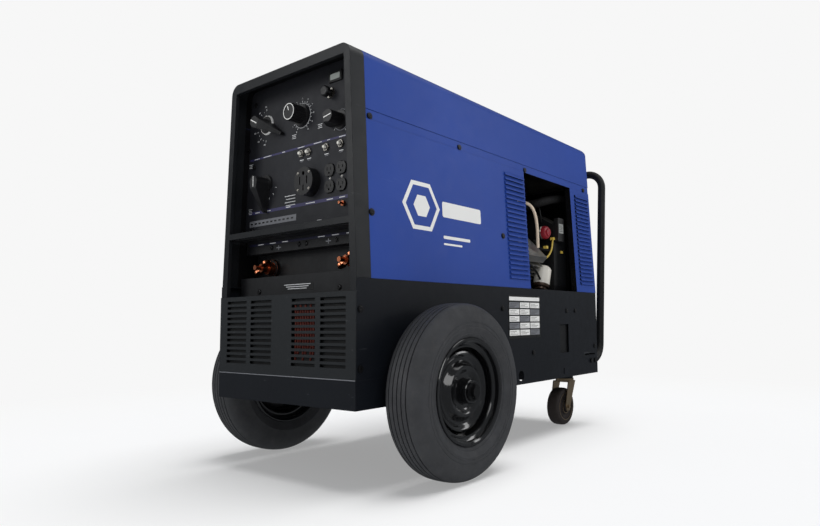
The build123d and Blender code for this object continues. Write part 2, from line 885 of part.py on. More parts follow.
def knuckle(middle, length):
    """A hinge knuckle about the hinge line, centred at a height up the slope."""
    return Pos(0, middle, hinge_axis_out) * Rot(90, 0, 0) * Cylinder(hinge_radius, length)


def engine_door():
    """Left service door in the opening, with a recessed pull and its hinge knuckles."""
    length = door_opening_end - side_panel_end - 2 * door_clearance
    height = skin_height - 2 * door_clearance
    middle = door_clearance + height / 2
    door = Pos(-door_clearance - length / 2, middle, -sheet / 2) * Box(length, height, sheet)
    door += Pos(-door_clearance - length + sheet / 2, middle, -jamb_fold / 2) * Box(sheet, height, jamb_fold)
    pull_at = Pos(-door_clearance - length + pull_inset, middle, 0)
    cup = Box(pull_width + 2 * sheet, pull_height + 2 * sheet, pull_depth)
    door += pull_at * Pos(0, 0, -pull_depth / 2) * cup
    door -= pull_at * Pos(0, 0, -pull_depth / 2 + sheet) * Box(pull_width, pull_height, pull_depth)
    reach = hinge_length / 2 - gap
    for low in hinge_places:
        centre = low + hinge_length * 0.75
        door += Pos(-door_clearance - hinge_web, centre, sheet / 2) * Box(hinge_leaf / 2, reach, sheet)
        door += Pos(-hinge_web, centre, hinge_axis_out / 2 + 0.5) * Box(hinge_web, reach, hinge_axis_out - 1)
        door += knuckle(centre, reach)
        bore = Pos(0, centre, hinge_axis_out) * Rot(90, 0, 0)
        door -= bore * Cylinder(hinge_pin_radius + running_clearance, hinge_length)
    return mirrored(hinge_plane() * door)


def door_hinges():
    """Fixed hinge leaves on the left rear post, each with its upright pin."""
    leaves = []
    reach = hinge_length / 2 - gap
    for low in hinge_places:
        centre = low + hinge_length * 0.25
        body = Pos(hinge_leaf / 2 + 2, centre, sheet / 2) * Box(hinge_leaf, reach, sheet)
        body += Pos(hinge_web, centre, hinge_axis_out / 2 + 0.5) * Box(hinge_web, reach, hinge_axis_out - 1)
        body += knuckle(centre, reach)
        pin_at = Pos(0, low + hinge_length / 2, hinge_axis_out) * Rot(90, 0, 0)
        body += pin_at * Cylinder(hinge_pin_radius, hinge_length - 2 * gap)
        leaves.append(mirrored(hinge_plane() * body))
    return leaves


# ---- generator and engine

def axis_point(distance):
    return (0, station(distance), shaft_height)


def foot(distance, side, reach_up):
    """A foot that stands on a rubber mount and rises to its casting."""
    x = side * mount_offset
    y = station(distance)
    return block(x - foot_half_width, x + foot_half_width, y - foot_half_length, y + foot_half_length,
                 foot_top, reach_up)


def generator_housing():
    """Stator ring with its end bell, feet and the adapter flange to the engine."""
    housing = ring(stator_radius, rotor_radius + air_gap, axis_point(stator_start), axis_point(stator_end))
    housing += rod(stator_radius - stator_shell,
                   axis_point(stator_start - end_bell), axis_point(stator_start))
    for distance in mount_stations[:2]:
        for side in (-1, 1):
            housing += foot(distance, side, shaft_height - 95)
    housing -= rod(rotor_radius + air_gap, axis_point(stator_start), axis_point(stator_end + 1))
    adapter = crankcase_start - adapter_flange
    housing += ring(stator_radius, stator_radius - stator_shell, axis_point(stator_end), axis_point(adapter))
    housing += ring(stator_radius, adapter_bore, axis_point(adapter), axis_point(crankcase_start))
    bore = shaft_radius + running_clearance
    housing -= rod(bore, axis_point(stator_start - end_bell - 1), axis_point(stator_start + 1))
    for x, z in polar(end_vents, end_vent_circle):
        vent = Plane(origin=axis_point(stator_start - end_bell - 1), x_dir=(1, 0, 0), z_dir=(0, 1, 0))
        housing -= extrude(vent * Pos(x, z) * Circle(end_vent_radius), amount=end_bell + 2)
    return housing


def crankcase_box(y0, y1, half):
    """A square box turned to the cylinders' angle about the shaft."""
    spot = Pos(0, (y0 + y1) / 2, shaft_height) * Rot(0, cylinder_tilt, 0)
    return spot * Box(2 * half, y1 - y0, 2 * half)


def engine_block():
    """Crankcase with its sump, feet, filter boss, dipstick tube and carburettor stand."""
    y0 = station(crankcase_start)
    y1 = y0 + crankcase_length
    case = crankcase_box(y0, y1, crankcase_half)
    case -= block(-clear_half, clear_half, y0 - cut, y1 + cut, 0, sump_height)
    case += block(-sump_half, sump_half, y0, y1, sump_height - sump_drop, sump_height + sump_rise)
    for distance in mount_stations[2:]:
        for side in (-1, 1):
            case += foot(distance, side, shaft_height - 70)
    boss = (station(filter_boss_station), filter_boss_height)
    case += rod(filter_boss_radius, (filter_boss_start, *boss), (filter_boss_end, *boss))
    x = dipstick_x
    y = station(dipstick_station)
    top = dipstick_tube_top
    case += rod(dipstick_tube_radius, (x, y, dipstick_tube_low), (x, y, top))
    case -= rod(dipstick_blade_radius + running_clearance, (x, y, top - dipstick_length - 2), (x, y, top + 1))
    case -= rod(shaft_radius + shaft_relief,
                (0, y0 + bearing_land, shaft_height), (0, y1 - bearing_land, shaft_height))
    case -= rod(shaft_radius + running_clearance, (0, y0 - 1, shaft_height), (0, y1 + 1, shaft_height))
    return case


def cylinder_head():
    """Right cylinder and head: a finned barrel standing on the crankcase's face."""
    barrel = Pos(0, 0, cylinder_length / 2) * Cylinder(cylinder_bore_radius, cylinder_length)
    pitch = (cylinder_length - head_depth - 6) / fin_count
    for index in range(fin_count):
        barrel += Pos(0, 0, first_fin + index * pitch) * Box(fin_size, fin_size, fin_thickness)
    barrel += Pos(0, 0, cylinder_length - head_depth / 2) * Box(fin_size - 10, fin_size - 10, head_depth)
    tilted = Pos(0, station(cylinder_station), shaft_height) * Rot(0, cylinder_tilt, 0)
    return tilted * Pos(0, 0, crankcase_half) * barrel


def cylinder_heads():
    right = cylinder_head()
    return [right, mirrored(right)]


def blower_outline(inset):
    """(x, z) outline of the cooling shroud at the flywheel end."""
    right = [(blower_half_low - inset, blower_low + inset), (blower_half - inset, blower_waist),
             (blower_half - inset, blower_shoulder), (blower_half_high - inset, blower_top - inset)]
    return right + [(-x, z) for x, z in right[::-1]]


def blower_housing():
    """Sheet shroud round the flywheel, with its air inlet at the rear."""
    y0 = station(crankcase_start) + crankcase_length
    y1 = y0 + blower_depth
    shell = slab_xz(blower_outline(0), y0, y1)
    shell -= slab_xz(blower_outline(blower_wall), y0 + blower_wall, y1 - blower_wall)
    shell -= rod(blower_inlet_radius, (0, y1 - blower_wall - 1, shaft_height), (0, y1 + 1, shaft_height))
    shell -= rod(shaft_radius + shaft_relief,
                 (0, y0 - 1, shaft_height), (0, y0 + blower_wall + 1, shaft_height))
    return shell


def crank_rotor():
    """The one turning line: generator rotor, crankshaft and finned flywheel."""
    shaft_start = stator_start - end_bell - 6
    wheel_start = crankcase_start + crankcase_length + flywheel_gap
    turning = rod(shaft_radius, axis_point(shaft_start), axis_point(wheel_start + flywheel_width))
    turning += rod(rotor_radius,
                   axis_point(stator_start + rotor_inset), axis_point(stator_end - coupling_inset))
    turning += rod(coupling_radius, axis_point(stator_end - coupling_inset), axis_point(crankcase_start - 20))
    turning += rod(flywheel_radius, axis_point(wheel_start), axis_point(wheel_start + flywheel_plate))
    blade_width = flywheel_width - flywheel_plate
    blade_y = station(wheel_start + flywheel_plate) + blade_width / 2
    blade_middle = flywheel_radius - blade_height / 2 - 5
    for index in range(flywheel_blades):
        blade = Pos(0, 0, blade_middle) * Box(blade_thickness, blade_width, blade_height)
        spin = Pos(0, blade_y, shaft_height) * Rot(0, 360 / flywheel_blades * index, 0)
        turning += spin * blade
    return turning


def engine_mounts():
    """Rubber mounts between the floor and the feet."""
    mounts = []
    low = skid_top + sheet
    for distance in mount_stations:
        for side in (-1, 1):
            at = (side * mount_offset, station(distance))
            mounts.append(rod(mount_radius, (*at, low), (*at, foot_top)))
    return mounts


def carburettor():
    """Carburettor body on the crankcase's ridge, with a flange under the air cleaner."""
    y = station(carburettor_station)
    ridge = shaft_height + crankcase_half * math.sqrt(2)
    half = carburettor_half
    seat = carburettor_top - carburettor_flange
    body = block(-half, half, y - 30, y + 30, ridge, seat)
    body += block(-half - 12, half + 12, y - 42, y + 42, seat, carburettor_top)
    body += rod(carburettor_bowl_radius, (-half - 14, y, ridge + 45), (half + 14, y, ridge + 45))
    return body


def air_cleaner():
    """Rounded air cleaner case with a hose spigot on its right side."""
    y = station(carburettor_station)
    half = air_cleaner_half
    case = block(-half, half, y - air_cleaner_length / 2, y + air_cleaner_length / 2,
                 carburettor_top, carburettor_top + air_cleaner_height)
    case = fillet(case.edges().filter_by(Axis.Z), air_cleaner_corner)
    case = fillet(case.faces().sort_by(Axis.Z)[-1].edges(), air_cleaner_edge)
    spigot_y = station(spigot_station)
    z = carburettor_top + spigot_rise
    return case + rod(hose_radius - 3, (half - 5, spigot_y, z), (half + spigot_reach, spigot_y, z))


def breather_hose():
    """Hose from the air cleaner's spigot back and up to the rear wall."""
    y = station(spigot_station)
    x = air_cleaner_half + spigot_reach + gap
    z = carburettor_top + spigot_rise
    end_y = station(hood_rear) - 2 * (sheet + gap) - hose_radius
    points = [(x, y, z), (x + 42, y, z), (x + 50, y + 90, z + 28), (x + 40, end_y, z + 58)]
    return hose(points, [25, 60], hose_radius)


def muffler():
    """Drum muffler across the rear, its outlet stub through the hood and its inlet pipes."""
    y = station(muffler_station)
    half = muffler_length / 2
    drum = rod(muffler_radius, (-half, y, muffler_height), (half, y, muffler_height))
    drum += rod(exhaust_radius, (exhaust_x, y, muffler_height), (exhaust_x, y, exhaust_top))
    drum -= rod(exhaust_radius - exhaust_wall,
                (exhaust_x, y, muffler_height + 20), (exhaust_x, y, exhaust_top + cut))
    for side in (-1, 1):
        foot_x = side * (half - muffler_foot_inset)
        drum += block(foot_x - 10, foot_x + 10, y - 30, y + 30, muffler_height + 20, body_top - sheet - gap)
    x = -exhaust_pipe_x
    head_y = station(cylinder_station) + fin_size / 2 + gap
    rise_y = head_y + 40
    low = exhaust_pipe_low
    pipe = hose([(x, head_y, low), (x, rise_y, low), (x, rise_y, muffler_height - 95),
                 (x, y - muffler_radius + 8, muffler_height - 10)], [20, 40], exhaust_pipe_radius)
    return drum + pipe


def oil_filter():
    """Spin-on filter on its boss, leaning back."""
    boss = Pos(filter_x, station(filter_boss_station), filter_boss_height)
    spot = boss * Rot(-filter_tilt, 0, 0) * Pos(0, 0, filter_boss_radius + gap)
    neck = Pos(0, 0, filter_neck / 2) * Cylinder(filter_radius - filter_neck, filter_neck)
    can = Pos(0, 0, filter_neck + filter_height / 2) * Cylinder(filter_radius, filter_height)
    can = fillet(can.faces().sort_by(Axis.Z)[-1].edges(), filter_neck)
    return spot * (neck + can)


def dipstick():
    """Oil dipstick: its blade in the tube and a cap with a finger loop."""
    top = dipstick_tube_top
    x = dipstick_x
    y = station(dipstick_station)
    stick = rod(dipstick_blade_radius, (x, y, top - dipstick_length), (x, y, top + 10))
    stick += rod(dipstick_tube_radius + 3, (x, y, top + gap), (x, y, top + 12))
    loop = ring(14, 9, (x, y - 2, top + 24), (x, y + 2, top + 24))
    return stick + loop


def battery():
    """Starting battery on the floor behind the vent panel, with two posts."""
    low = skid_top + sheet
    x0 = battery_low_x
    y0 = station(battery_start)
    case = block(x0, x0 + battery_width, y0, y0 + battery_length, low, low + battery_height)
    case = fillet(case.edges().filter_by(Axis.Z), 6)
    top = low + battery_height
    for share in battery_post_shares:
        post = (x0 + share * battery_width, y0 + battery_length - battery_post_inset)
        case += rod(battery_post_radius, (*post, top), (*post, top + battery_post_height))
    return case


def regulator_box():
    """Voltage regulator on the shroud's right side."""
    x = blower_half
    y0 = station(regulator_start)
    box = block(x + gap, x + regulator_thickness, y0, y0 + regulator_length,
                regulator_low, regulator_low + regulator_height)
    return fillet(box.edges().filter_by(Axis.X), 4)


def fuel_pump():
    """Round fuel pump on its bracket, off the shroud's front face."""
    y1 = station(crankcase_start) + crankcase_length
    y = y1 - pump_from_blower
    x = pump_x
    z = pump_height
    cap = x + pump_length
    body = rod(pump_radius, (x, y, z), (cap, y, z))
    body += rod(pump_cap_radius, (cap, y, z), (cap + pump_cap_length, y, z))
    return body + block(x + 8, x + 16, y, y1, z - 8, z + 8)


def fuel_tank():
    """Welded tank with rounded edges, hollow, and its filler neck through the hood."""
    y0 = station(tank_start)
    y1 = station(tank_end)
    half = tank_half_width
    shell = block(-half, half, y0, y1, tank_bottom, tank_top)
    shell = fillet(shell.edges().filter_by(Axis.Y), tank_corner)
    wall = tank_wall
    hollow = block(-half + wall, half - wall, y0 + wall, y1 - wall, tank_bottom + wall, tank_top - wall)
    hollow = fillet(hollow.edges().filter_by(Axis.Y), tank_corner - wall)
    neck = (neck_x, station(neck_station))
    neck_top = body_top + neck_rise
    shell = shell - hollow + rod(neck_radius, (*neck, tank_top - wall), (*neck, neck_top))
    return shell - rod(neck_radius - wall, (*neck, tank_top - wall - cut), (*neck, neck_top + cut))


def fuel_cap():
    """Quarter-turn cap over the filler neck, with finger scallops."""
    low = body_top + neck_rise + gap - cap_overlap
    plane = Plane(origin=(neck_x, station(neck_station), low))
    cap = extrude(plane * Circle(cap_radius), amount=cap_height - cap_overlap)
    cap -= extrude(plane * Circle(neck_radius + running_clearance), amount=cap_overlap)
    for x, y in polar(cap_scallops, cap_radius + 2):
        cap -= extrude(plane * Pos(x, y) * Circle(5), amount=cap_height)
    return cap


def inner_supports():
    """Two cross angles that carry the tank, and the two straps over it."""
    pieces = []
    half = body_half(tank_bottom) - sheet - gap
    low = tank_bottom - support_height
    low_half = body_half(low) - sheet - gap
    web = [(-low_half, low), (low_half, low), (half, tank_bottom), (-half, tank_bottom)]
    inner = tank_half_width
    outer = inner + strap_thickness
    for distance in (tank_start + support_inset, tank_end - support_inset):
        y0 = station(distance) - support_width / 2
        y1 = y0 + support_width
        angle = block(-half, half, y0, y1, tank_bottom - support_thickness, tank_bottom)
        angle += slab_xz(web, y0, y0 + support_thickness)
        strap_y0 = y0 + (support_width - strap_width) / 2
        strap_y1 = strap_y0 + strap_width
        strap = block(-outer, outer, strap_y0, strap_y1, tank_bottom, tank_top + strap_thickness)
        strap = fillet(strap.edges().filter_by(Axis.Y).sort_by(Axis.Z)[-2:], tank_corner + strap_thickness)
        hole = block(-inner, inner, strap_y0 - cut, strap_y1 + cut, tank_bottom - cut, tank_top)
        hole = fillet(hole.edges().filter_by(Axis.Y).sort_by(Axis.Z)[-2:], tank_corner)
        pieces.append(angle + (strap - hole))
    return pieces


def wiring():
    """Clipped leads in the engine bay and the battery cable."""
    head_y = station(cylinder_station)
    rear_y = station(crankcase_start) + crankcase_length
    x = bay_x
    z = shaft_height + 170
    wall_y = rear_y - lead_end_gap
    thick = hose([(air_cleaner_half + gap, head_y - 20, z + 152), (x + 8, head_y - 16, z + 150),
                  (x + 16, head_y + 20, z + 105), (x + 16, head_y + 24, z)], [30, 40], 4)
    plug_lead = hose([(x - 25, head_y + fin_size / 2 + 4, z + 32), (x - 25, rear_y - 45, z + 20),
                      (x + 4, wall_y, z)], [12], 3.5)
    thin_lead = hose([(x - 30, wall_y, z + 100), (x - 20, rear_y - 24, z + 122),
                      (x - 36, rear_y - 8, z + 165)], [15], 3)
    low = skid_top + sheet + battery_height
    post_x = battery_low_x + battery_post_shares[1] * battery_width
    post_y = station(battery_start) + battery_length - battery_post_inset
    cable = hose([(post_x + battery_post_radius + gap, post_y, low + 7), (60, post_y + 4, low + 12),
                  (120, post_y + 20, low - 20), (cable_x, station(stator_start + 20), shaft_height - 130),
                  (cable_x + 3, station(crankcase_start + 20), shaft_height - 140)], [25, 30, 60], 5)
    return [thick, plug_lead, thin_lead, cable]


# ---- controls

def bar_knob(place, tail_angle, length):
    """Bar knob: round hub with a tail that falls away, on a switch shaft."""
    plane = panel_plane(place, knob_back)
    high = bar_knob_height
    radius = bar_knob_radius
    tail = Polygon((0, radius), (length, 4), (length, -4), (0, -radius), align=None)
    outline = tail + Circle(radius) + Pos(length - 1, 0) * Circle(4)
    skirt = radius + bar_knob_skirt
    body = extrude(outline, amount=high, dir=(0, 0, 1)) + extrude(Circle(skirt), amount=5)
    across = Plane(origin=(0, skirt + cut, 0), x_dir=(1, 0, 0), z_dir=(0, -1, 0))
    past = length + 9
    wedge = Polygon((radius, high + cut), (past, high + cut), (past, 12), (length, 12), align=None)
    body -= extrude(across * wedge, amount=2 * (skirt + cut), dir=(0, -1, 0))
    body -= extrude(Circle(switch_shaft_radius + running_clearance), amount=shaft_reach + gap)
    return plane * (Rot(0, 0, tail_angle) * body)


def range_switch_knob():
    return bar_knob(range_switch_at, -28, bar_knob_length)


def process_switch_knob():
    return bar_knob(process_switch_at, -90, bar_knob_length - 4)


def engine_switch_knob():
    return bar_knob(engine_switch_at, 190, engine_knob_length)


def fine_control_knob():
    """Fluted round knob with a broad skirt."""
    plane = panel_plane(fine_control_at, knob_back)
    radius = fine_knob_radius
    body = extrude(Circle(fine_knob_skirt), amount=8) + extrude(Circle(radius), amount=bar_knob_height)
    for x, y in polar(fine_knob_flutes, radius + 1.5):
        body -= Pos(x, y, 8) * extrude(Circle(3), amount=bar_knob_height)
    body -= Pos(0, 0, bar_knob_height - 1) * extrude(Circle(radius - 5), amount=2)
    body -= extrude(Circle(switch_shaft_radius + running_clearance), amount=shaft_reach + gap)
    return plane * body


def switch_bodies():
    """Rotary switch and potentiometer bodies behind the panel, each with its shaft."""
    bodies = []
    for place in (range_switch_at, process_switch_at, fine_control_at, engine_switch_at):
        x, z = place
        y0 = panel_face + sheet
        half = switch_body / 2
        body = block(x - half, x + half, y0, y0 + switch_body_depth, z - half, z + half)
        bodies.append(body + rod(switch_shaft_radius, (x, y0, z), (x, panel_face - shaft_reach, z)))
    x, z = choke_at
    y0 = panel_face + sheet
    bore = choke_rod_radius + running_clearance
    bushing = ring(10, bore, (x, y0, z), (x, y0 + 18, z))
    bushing += ring(choke_rod_radius + 2.5, bore, (x, panel_face - 4, z), (x, y0, z))
    bodies.append(bushing)
    return bodies


def choke_knob():
    """Pull knob on its rod."""
    plane = panel_plane(choke_at, panel_face - 4 - gap)
    knob = extrude(Circle(7), amount=8)
    knob += Pos(0, 0, 8) * extrude(Circle(choke_knob_radius), amount=12)
    knob = fillet(knob.faces().sort_by(Axis.Z)[-1].edges(), 4)
    x, z = choke_at
    return plane * knob + rod(choke_rod_radius, (x, panel_face - 5, z), (x, panel_face + 75, z))


def breaker_bodies():
    """Breaker barrels behind the panel, each with a collar round its button."""
    bodies = []
    for x, z in breakers_at:
        y0 = panel_face + sheet
        half_x, half_z = breaker_body_half
        body = block(x - half_x, x + half_x, y0, y0 + breaker_depth, z - half_z, z + half_z)
        body += rod(button_radius + button_collar, (x, y0, z), (x, panel_face - 5, z))
        body -= rod(button_radius + running_clearance, (x, y0 + 6, z), (x, panel_face - 6, z))
        bodies.append(body)
    return bodies


def breaker_button(index):
    """One reset button, free to be pressed into its breaker."""
    x, z = breakers_at[index]
    plane = panel_plane((x, z), panel_face + sheet)
    button = extrude(Circle(button_radius), amount=sheet + 5 + button_proud)
    button = fillet(button.faces().sort_by(Axis.Z)[-1].edges(), 1.5)
    return plane * button


def large_receptacle():
    """Round four-blade receptacle, standing proud of the panel."""
    plane = panel_plane(large_receptacle_at, panel_face + sheet + 30)
    depth = sheet + 30 + large_receptacle_proud
    body = extrude(Circle(large_receptacle_radius), amount=depth)
    for x, y, wide, high in ((-13, 2, 4, 20), (13, 2, 4, 20), (0, -16, 4, 14)):
        body -= Pos(x, y, depth - 15) * extrude(Rectangle(wide, high), amount=16)
    body -= Pos(0, 19, depth - 15) * extrude(Circle(5), amount=16)
    return plane * body


def duplex_receptacle(place):
    """Two outlet faces on one strap behind the panel."""
    plane = panel_plane(place, panel_face + sheet + strap_depth)
    body = extrude(Rectangle(duplex_body_width, 2 * duplex_body_half), amount=strap_depth)
    depth = strap_depth + sheet + duplex_proud
    top = depth - 8
    for side in (-1, 1):
        face = Pos(0, side * duplex_pitch / 2) * (Circle(duplex_radius) & Rectangle(*duplex_face))
        body += extrude(face, amount=depth)
        for x, high in ((-6.3, 9), (6.3, 7)):
            body -= Pos(x, side * duplex_pitch / 2 + 3, top) * extrude(Rectangle(2, high), amount=9)
        body -= Pos(0, side * duplex_pitch / 2 - 7, top) * extrude(Circle(2.6), amount=9)
    return plane * body


def receptacles():
    return [large_receptacle()] + [duplex_receptacle(place) for place in duplex_at]


def hour_meter():
    """Hour meter set in the panel, with a raised bezel."""
    x, z = hour_meter_at
    body_x, body_z = meter_body_half
    face_x, face_z = meter_face_half
    glass_x, glass_z = meter_glass_half
    body = block(x - body_x, x + body_x, panel_face, panel_face + 30, z - body_z, z + body_z)
    body += block(x - face_x, x + face_x, panel_face - 4, panel_face, z - face_z, z + face_z)
    return body - block(x - glass_x, x + glass_x, panel_face - 5, panel_face - 3, z - glass_z, z + glass_z)


def terminal_studs():
    """Two weld studs in their insulators and the brass ground stud with its nut."""
    pieces = []
    back = front + terminal_back
    z = weld_stud_height
    for side in (-1, 1):
        x = side * weld_stud_x
        hole = weld_stud_radius + stud_clearance
        face = back - insulator_proud
        rear = back + sheet + insulator_neck
        insulator = ring(insulator_radius, hole, (x, face, z), (x, back, z))
        insulator += ring(insulator_neck_radius, hole, (x, back, z), (x, rear, z))
        pieces.append(insulator)
        stud = rod(weld_stud_radius, (x, back + 40, z), (x, face - weld_stud_reach, z))
        pieces.append(stud + rod(12, (x, rear, z), (x, rear + 12, z)))
    x, z = ground_stud_at
    stud = rod(ground_stud_radius, (x, panel_face + sheet + 8, z), (x, panel_face - 16, z))
    nut = Plane(origin=(x, panel_face, z), x_dir=(1, 0, 0), z_dir=(0, -1, 0))
    stud += extrude(nut * RegularPolygon(6.5, 6), amount=6)
    stud += rod(8, (x, panel_face + sheet, z), (x, panel_face + sheet + 4, z))
    return pieces + [stud]


def wing_nut(side):
    """A wing nut near the tip of one weld stud."""
    x = side * weld_stud_x
    z = weld_stud_height
    y = front + terminal_back - insulator_proud
    hole = weld_stud_radius + stud_clearance
    hub = ring(wing_hub_radius, hole, (x, y - 34, z), (x, y - 16, z))
    hub += ring(wing_base_radius, hole, (x, y - 16, z), (x, y, z))
    plane = panel_plane((x, z), y - 14)
    for turn in (0, 180):
        wing = Pos(20, 0) * Circle(11) + Polygon((6, 7), (20, 10), (20, -10), (6, -7), align=None)
        plate = Plane(origin=(0, 3, 0), x_dir=(1, 0, 0), z_dir=(0, -1, 0)) * (Pos(0, 14) * wing)
        wing_body = extrude(plate, amount=6, dir=(0, -1, 0)) - Cylinder(hole, 90)
        hub += plane * (Rot(0, 0, turn + wing_turn) * wing_body)
    return hub


def wing_nuts():
    return [wing_nut(-1), wing_nut(1)]


# ---- running gear

def axle():
    """Solid axle through the skid, with a washer and a cotter pin outside each hub."""
    y = station(axle_station)
    z = axle_height
    reach = wheel_centre_x + rim_half_width + axle_end
    cotter_x = reach - cotter_inset
    bar = rod(axle_radius, (-reach, y, z), (reach, y, z))
    for x in (-cotter_x, cotter_x):
        bar -= rod(cotter_hole_radius, (x, y, z - 2 * axle_radius), (x, y, z + 2 * axle_radius))
    pieces = [bar]
    for side in (-1, 1):
        inner = side * (wheel_centre_x + hub_half_length + gap)
        hole = axle_radius + stud_clearance
        outer = inner + side * washer_thickness
        pieces.append(ring(washer_radius, hole, (inner, y, z), (outer, y, z)))
        inner = side * (base_width / 2)
        outer = side * (wheel_centre_x - hub_half_length - gap)
        pieces.append(ring(washer_radius, hole, (inner, y, z), (outer, y, z)))
        x = side * cotter_x
        pieces.append(rod(cotter_radius, (x, y, z - cotter_half), (x, y, z + cotter_half)))
    return pieces


def tyre():
    """Right tyre: revolved section with a crowned tread and round shoulders."""
    outer = tyre_radius
    half = tyre_half_width
    bead = rim_radius + gap
    seat = rim_half_width - rim_flange
    crown = outer - tyre_crown_drop
    shoulder = outer - tyre_shoulder
    right = [(tyre_crown_half, crown), (half, shoulder), (half, bead + tyre_bulge), (seat, bead)]
    section = [(-x, y) for x, y in right[::-1]] + [(0, outer)] + right
    walls = Polyline(section[0], section[1], section[2]) + Spline(section[2], section[3], section[4],
                                                                tangents=((0, 1), (1, 0)))
    walls += Spline(section[4], section[5], section[6], tangents=((1, 0), (0, -1)))
    walls += Polyline(section[6], section[7], section[8], section[0])
    face = Plane.XY * make_face(walls)
    body = revolve(face, axis=Axis.X, revolution_arc=360)
    for x in tyre_grooves:
        floor = outer - tyre_groove_depth - 5 * (x / tyre_crown_half) ** 2
        reach = tyre_groove_width / 2
        body -= ring(outer + 5, floor, (x - reach, 0, 0), (x + reach, 0, 0))
    return Pos(wheel_centre_x, station(axle_station), axle_height) * body


def rim():
    """Right rim: drop-centre barrel, dished disc and hub tube bored for the axle."""
    half = rim_half_width
    r = rim_radius
    wall = rim_wall
    lip = r + rim_flange
    well = r - rim_drop
    shelf = half - 12
    slope = half - 18
    right = [(slope, well), (shelf, r - gap), (half - wall, r - gap), (half - wall, lip), (half, lip),
             (half, r - wall), (shelf - 2, r - wall), (slope - 2, well - wall)]
    section = right + [(-x, y) for x, y in right[::-1]]
    barrel = revolve(make_face(Polyline(*section, close=True)), axis=Axis.X, revolution_arc=360)
    dish = [(x, hub_radius + share * (well - hub_radius)) for x, share in rim_dish]
    disc = revolve(make_face(Polyline(*dish, close=True)), axis=Axis.X, revolution_arc=360)
    hub = ring(hub_radius, bearing_radius, (-hub_half_length, 0, 0), (hub_half_length, 0, 0))
    return Pos(wheel_centre_x, station(axle_station), axle_height) * (barrel + disc + hub)


def wheel_bearing():
    """Bushes pressed in the right hub, running on the axle."""
    y = station(axle_station)
    bushes = []
    for side in (-1, 1):
        outer = wheel_centre_x + side * hub_half_length
        inner = outer - side * bearing_length
        bushes.append(ring(bearing_radius - press_clearance, axle_radius + running_clearance,
                           (inner, y, axle_height), (outer, y, axle_height)))
    return bushes


def caster_plate():
    """Right caster's mounting plate with the upper race and king pin."""
    x = caster_x
    y = station(caster_station)
    half = caster_plate_half
    plate = block(x - half, x + half, y - half, y + half, caster_gap, skid_bottom)
    race_low = caster_gap - caster_race_height
    plate += rod(caster_race_radius, (x, y, race_low), (x, y, caster_gap))
    return plate + rod(caster_pin_radius, (x, y, race_low - 12), (x, y, race_low))


def caster_fork():
    """Right caster fork: swivel crown, two legs and the riveted wheel pin."""
    x = caster_x
    y = station(caster_station)
    wheel_y = y - caster_trail
    top = caster_gap - caster_race_height - gap
    shoulder = top - caster_crown
    crown = rod(caster_crown_radius, (x, y, shoulder), (x, y, top))
    inner = caster_wheel_half + caster_side_gap
    outer = inner + caster_leg
    crown += block(x - outer, x + outer, wheel_y + 6, y + 22, shoulder - 4, shoulder)
    leg = [(y + 22, shoulder), (wheel_y + 6, shoulder), (wheel_y - 16, caster_wheel_radius + 6),
           (wheel_y - 10, caster_wheel_radius - 14), (wheel_y + 10, caster_wheel_radius - 14),
           (wheel_y + 17, caster_wheel_radius + 4)]
    for side in (-1, 1):
        edges = sorted((x + side * inner, x + side * outer))
        crown += slab_yz(leg, *edges)
    crown -= rod(caster_pin_radius + running_clearance, (x, y, top - 14), (x, y, top + cut))
    reach = outer + 6
    z = caster_wheel_radius
    return crown + rod(caster_pin_radius, (x - reach, wheel_y, z), (x + reach, wheel_y, z))


def caster_wheel():
    """Right caster wheel with a recessed hub."""
    x = caster_x
    y = station(caster_station) - caster_trail
    z = caster_wheel_radius
    half = caster_wheel_half
    wheel = rod(z, (x - half, y, z), (x + half, y, z))
    wheel = fillet(wheel.edges().filter_by(GeomType.CIRCLE), 7)
    for side in (-1, 1):
        wheel -= ring(caster_rim_radius, caster_hub_radius,
                      (x + side * (half - 6), y, z), (x + side * (half + cut), y, z))
        wheel += rod(caster_boss_radius, (x + side * half, y, z), (x + side * (half + caster_boss), y, z))
    reach = 2 * half
    return wheel - rod(caster_pin_radius + running_clearance, (x - reach, y, z), (x + reach, y, z))


def handle_points():
    """Points of the handle's centre line on the right, from its foot to the cross bar."""
    x = handle_half_width
    top_y = front + overall_length - handle_tube_radius
    lean_x = x - handle_lean_in
    return [(x, base_rear - handle_insert, handle_low), (x, station(handle_foot_station), handle_low),
            (lean_x, top_y, handle_top), (-lean_x, top_y, handle_top),
            (-x, station(handle_foot_station), handle_low), (-x, base_rear - handle_insert, handle_low)]


def handle():
    """One bent tube: both feet in the skid, leaning back, with a cross bar at the top."""
    path = FilletPolyline(*handle_points(), radius=[handle_bend] * 4)
    start = Plane(origin=path @ 0, z_dir=path % 0)
    outer = sweep(start * Circle(handle_tube_radius), path=path)
    return outer - sweep(start * Circle(handle_tube_radius - handle_wall), path=path)


def handle_bolts():
    """Two bolt heads on each skid rail, beside the handle's foot."""
    bolts = []
    rail = base_width / 2
    for side in (-1, 1):
        for back in handle_bolts_from_rear:
            y = base_rear - back
            bolts.append(rod(handle_bolt_radius, (side * rail, y, handle_low),
                             (side * (rail + handle_bolt_head), y, handle_low)))
    return bolts


def write(name, shape):
    """Write one node: a single solid or a group of separate solids."""
    solids = shape if isinstance(shape, list) else [shape]
    merged = [solid for piece in solids for solid in piece.solids()]
    export_step(merged[0] if len(merged) == 1 else Compound(children=merged), f"parts/{name}.step")


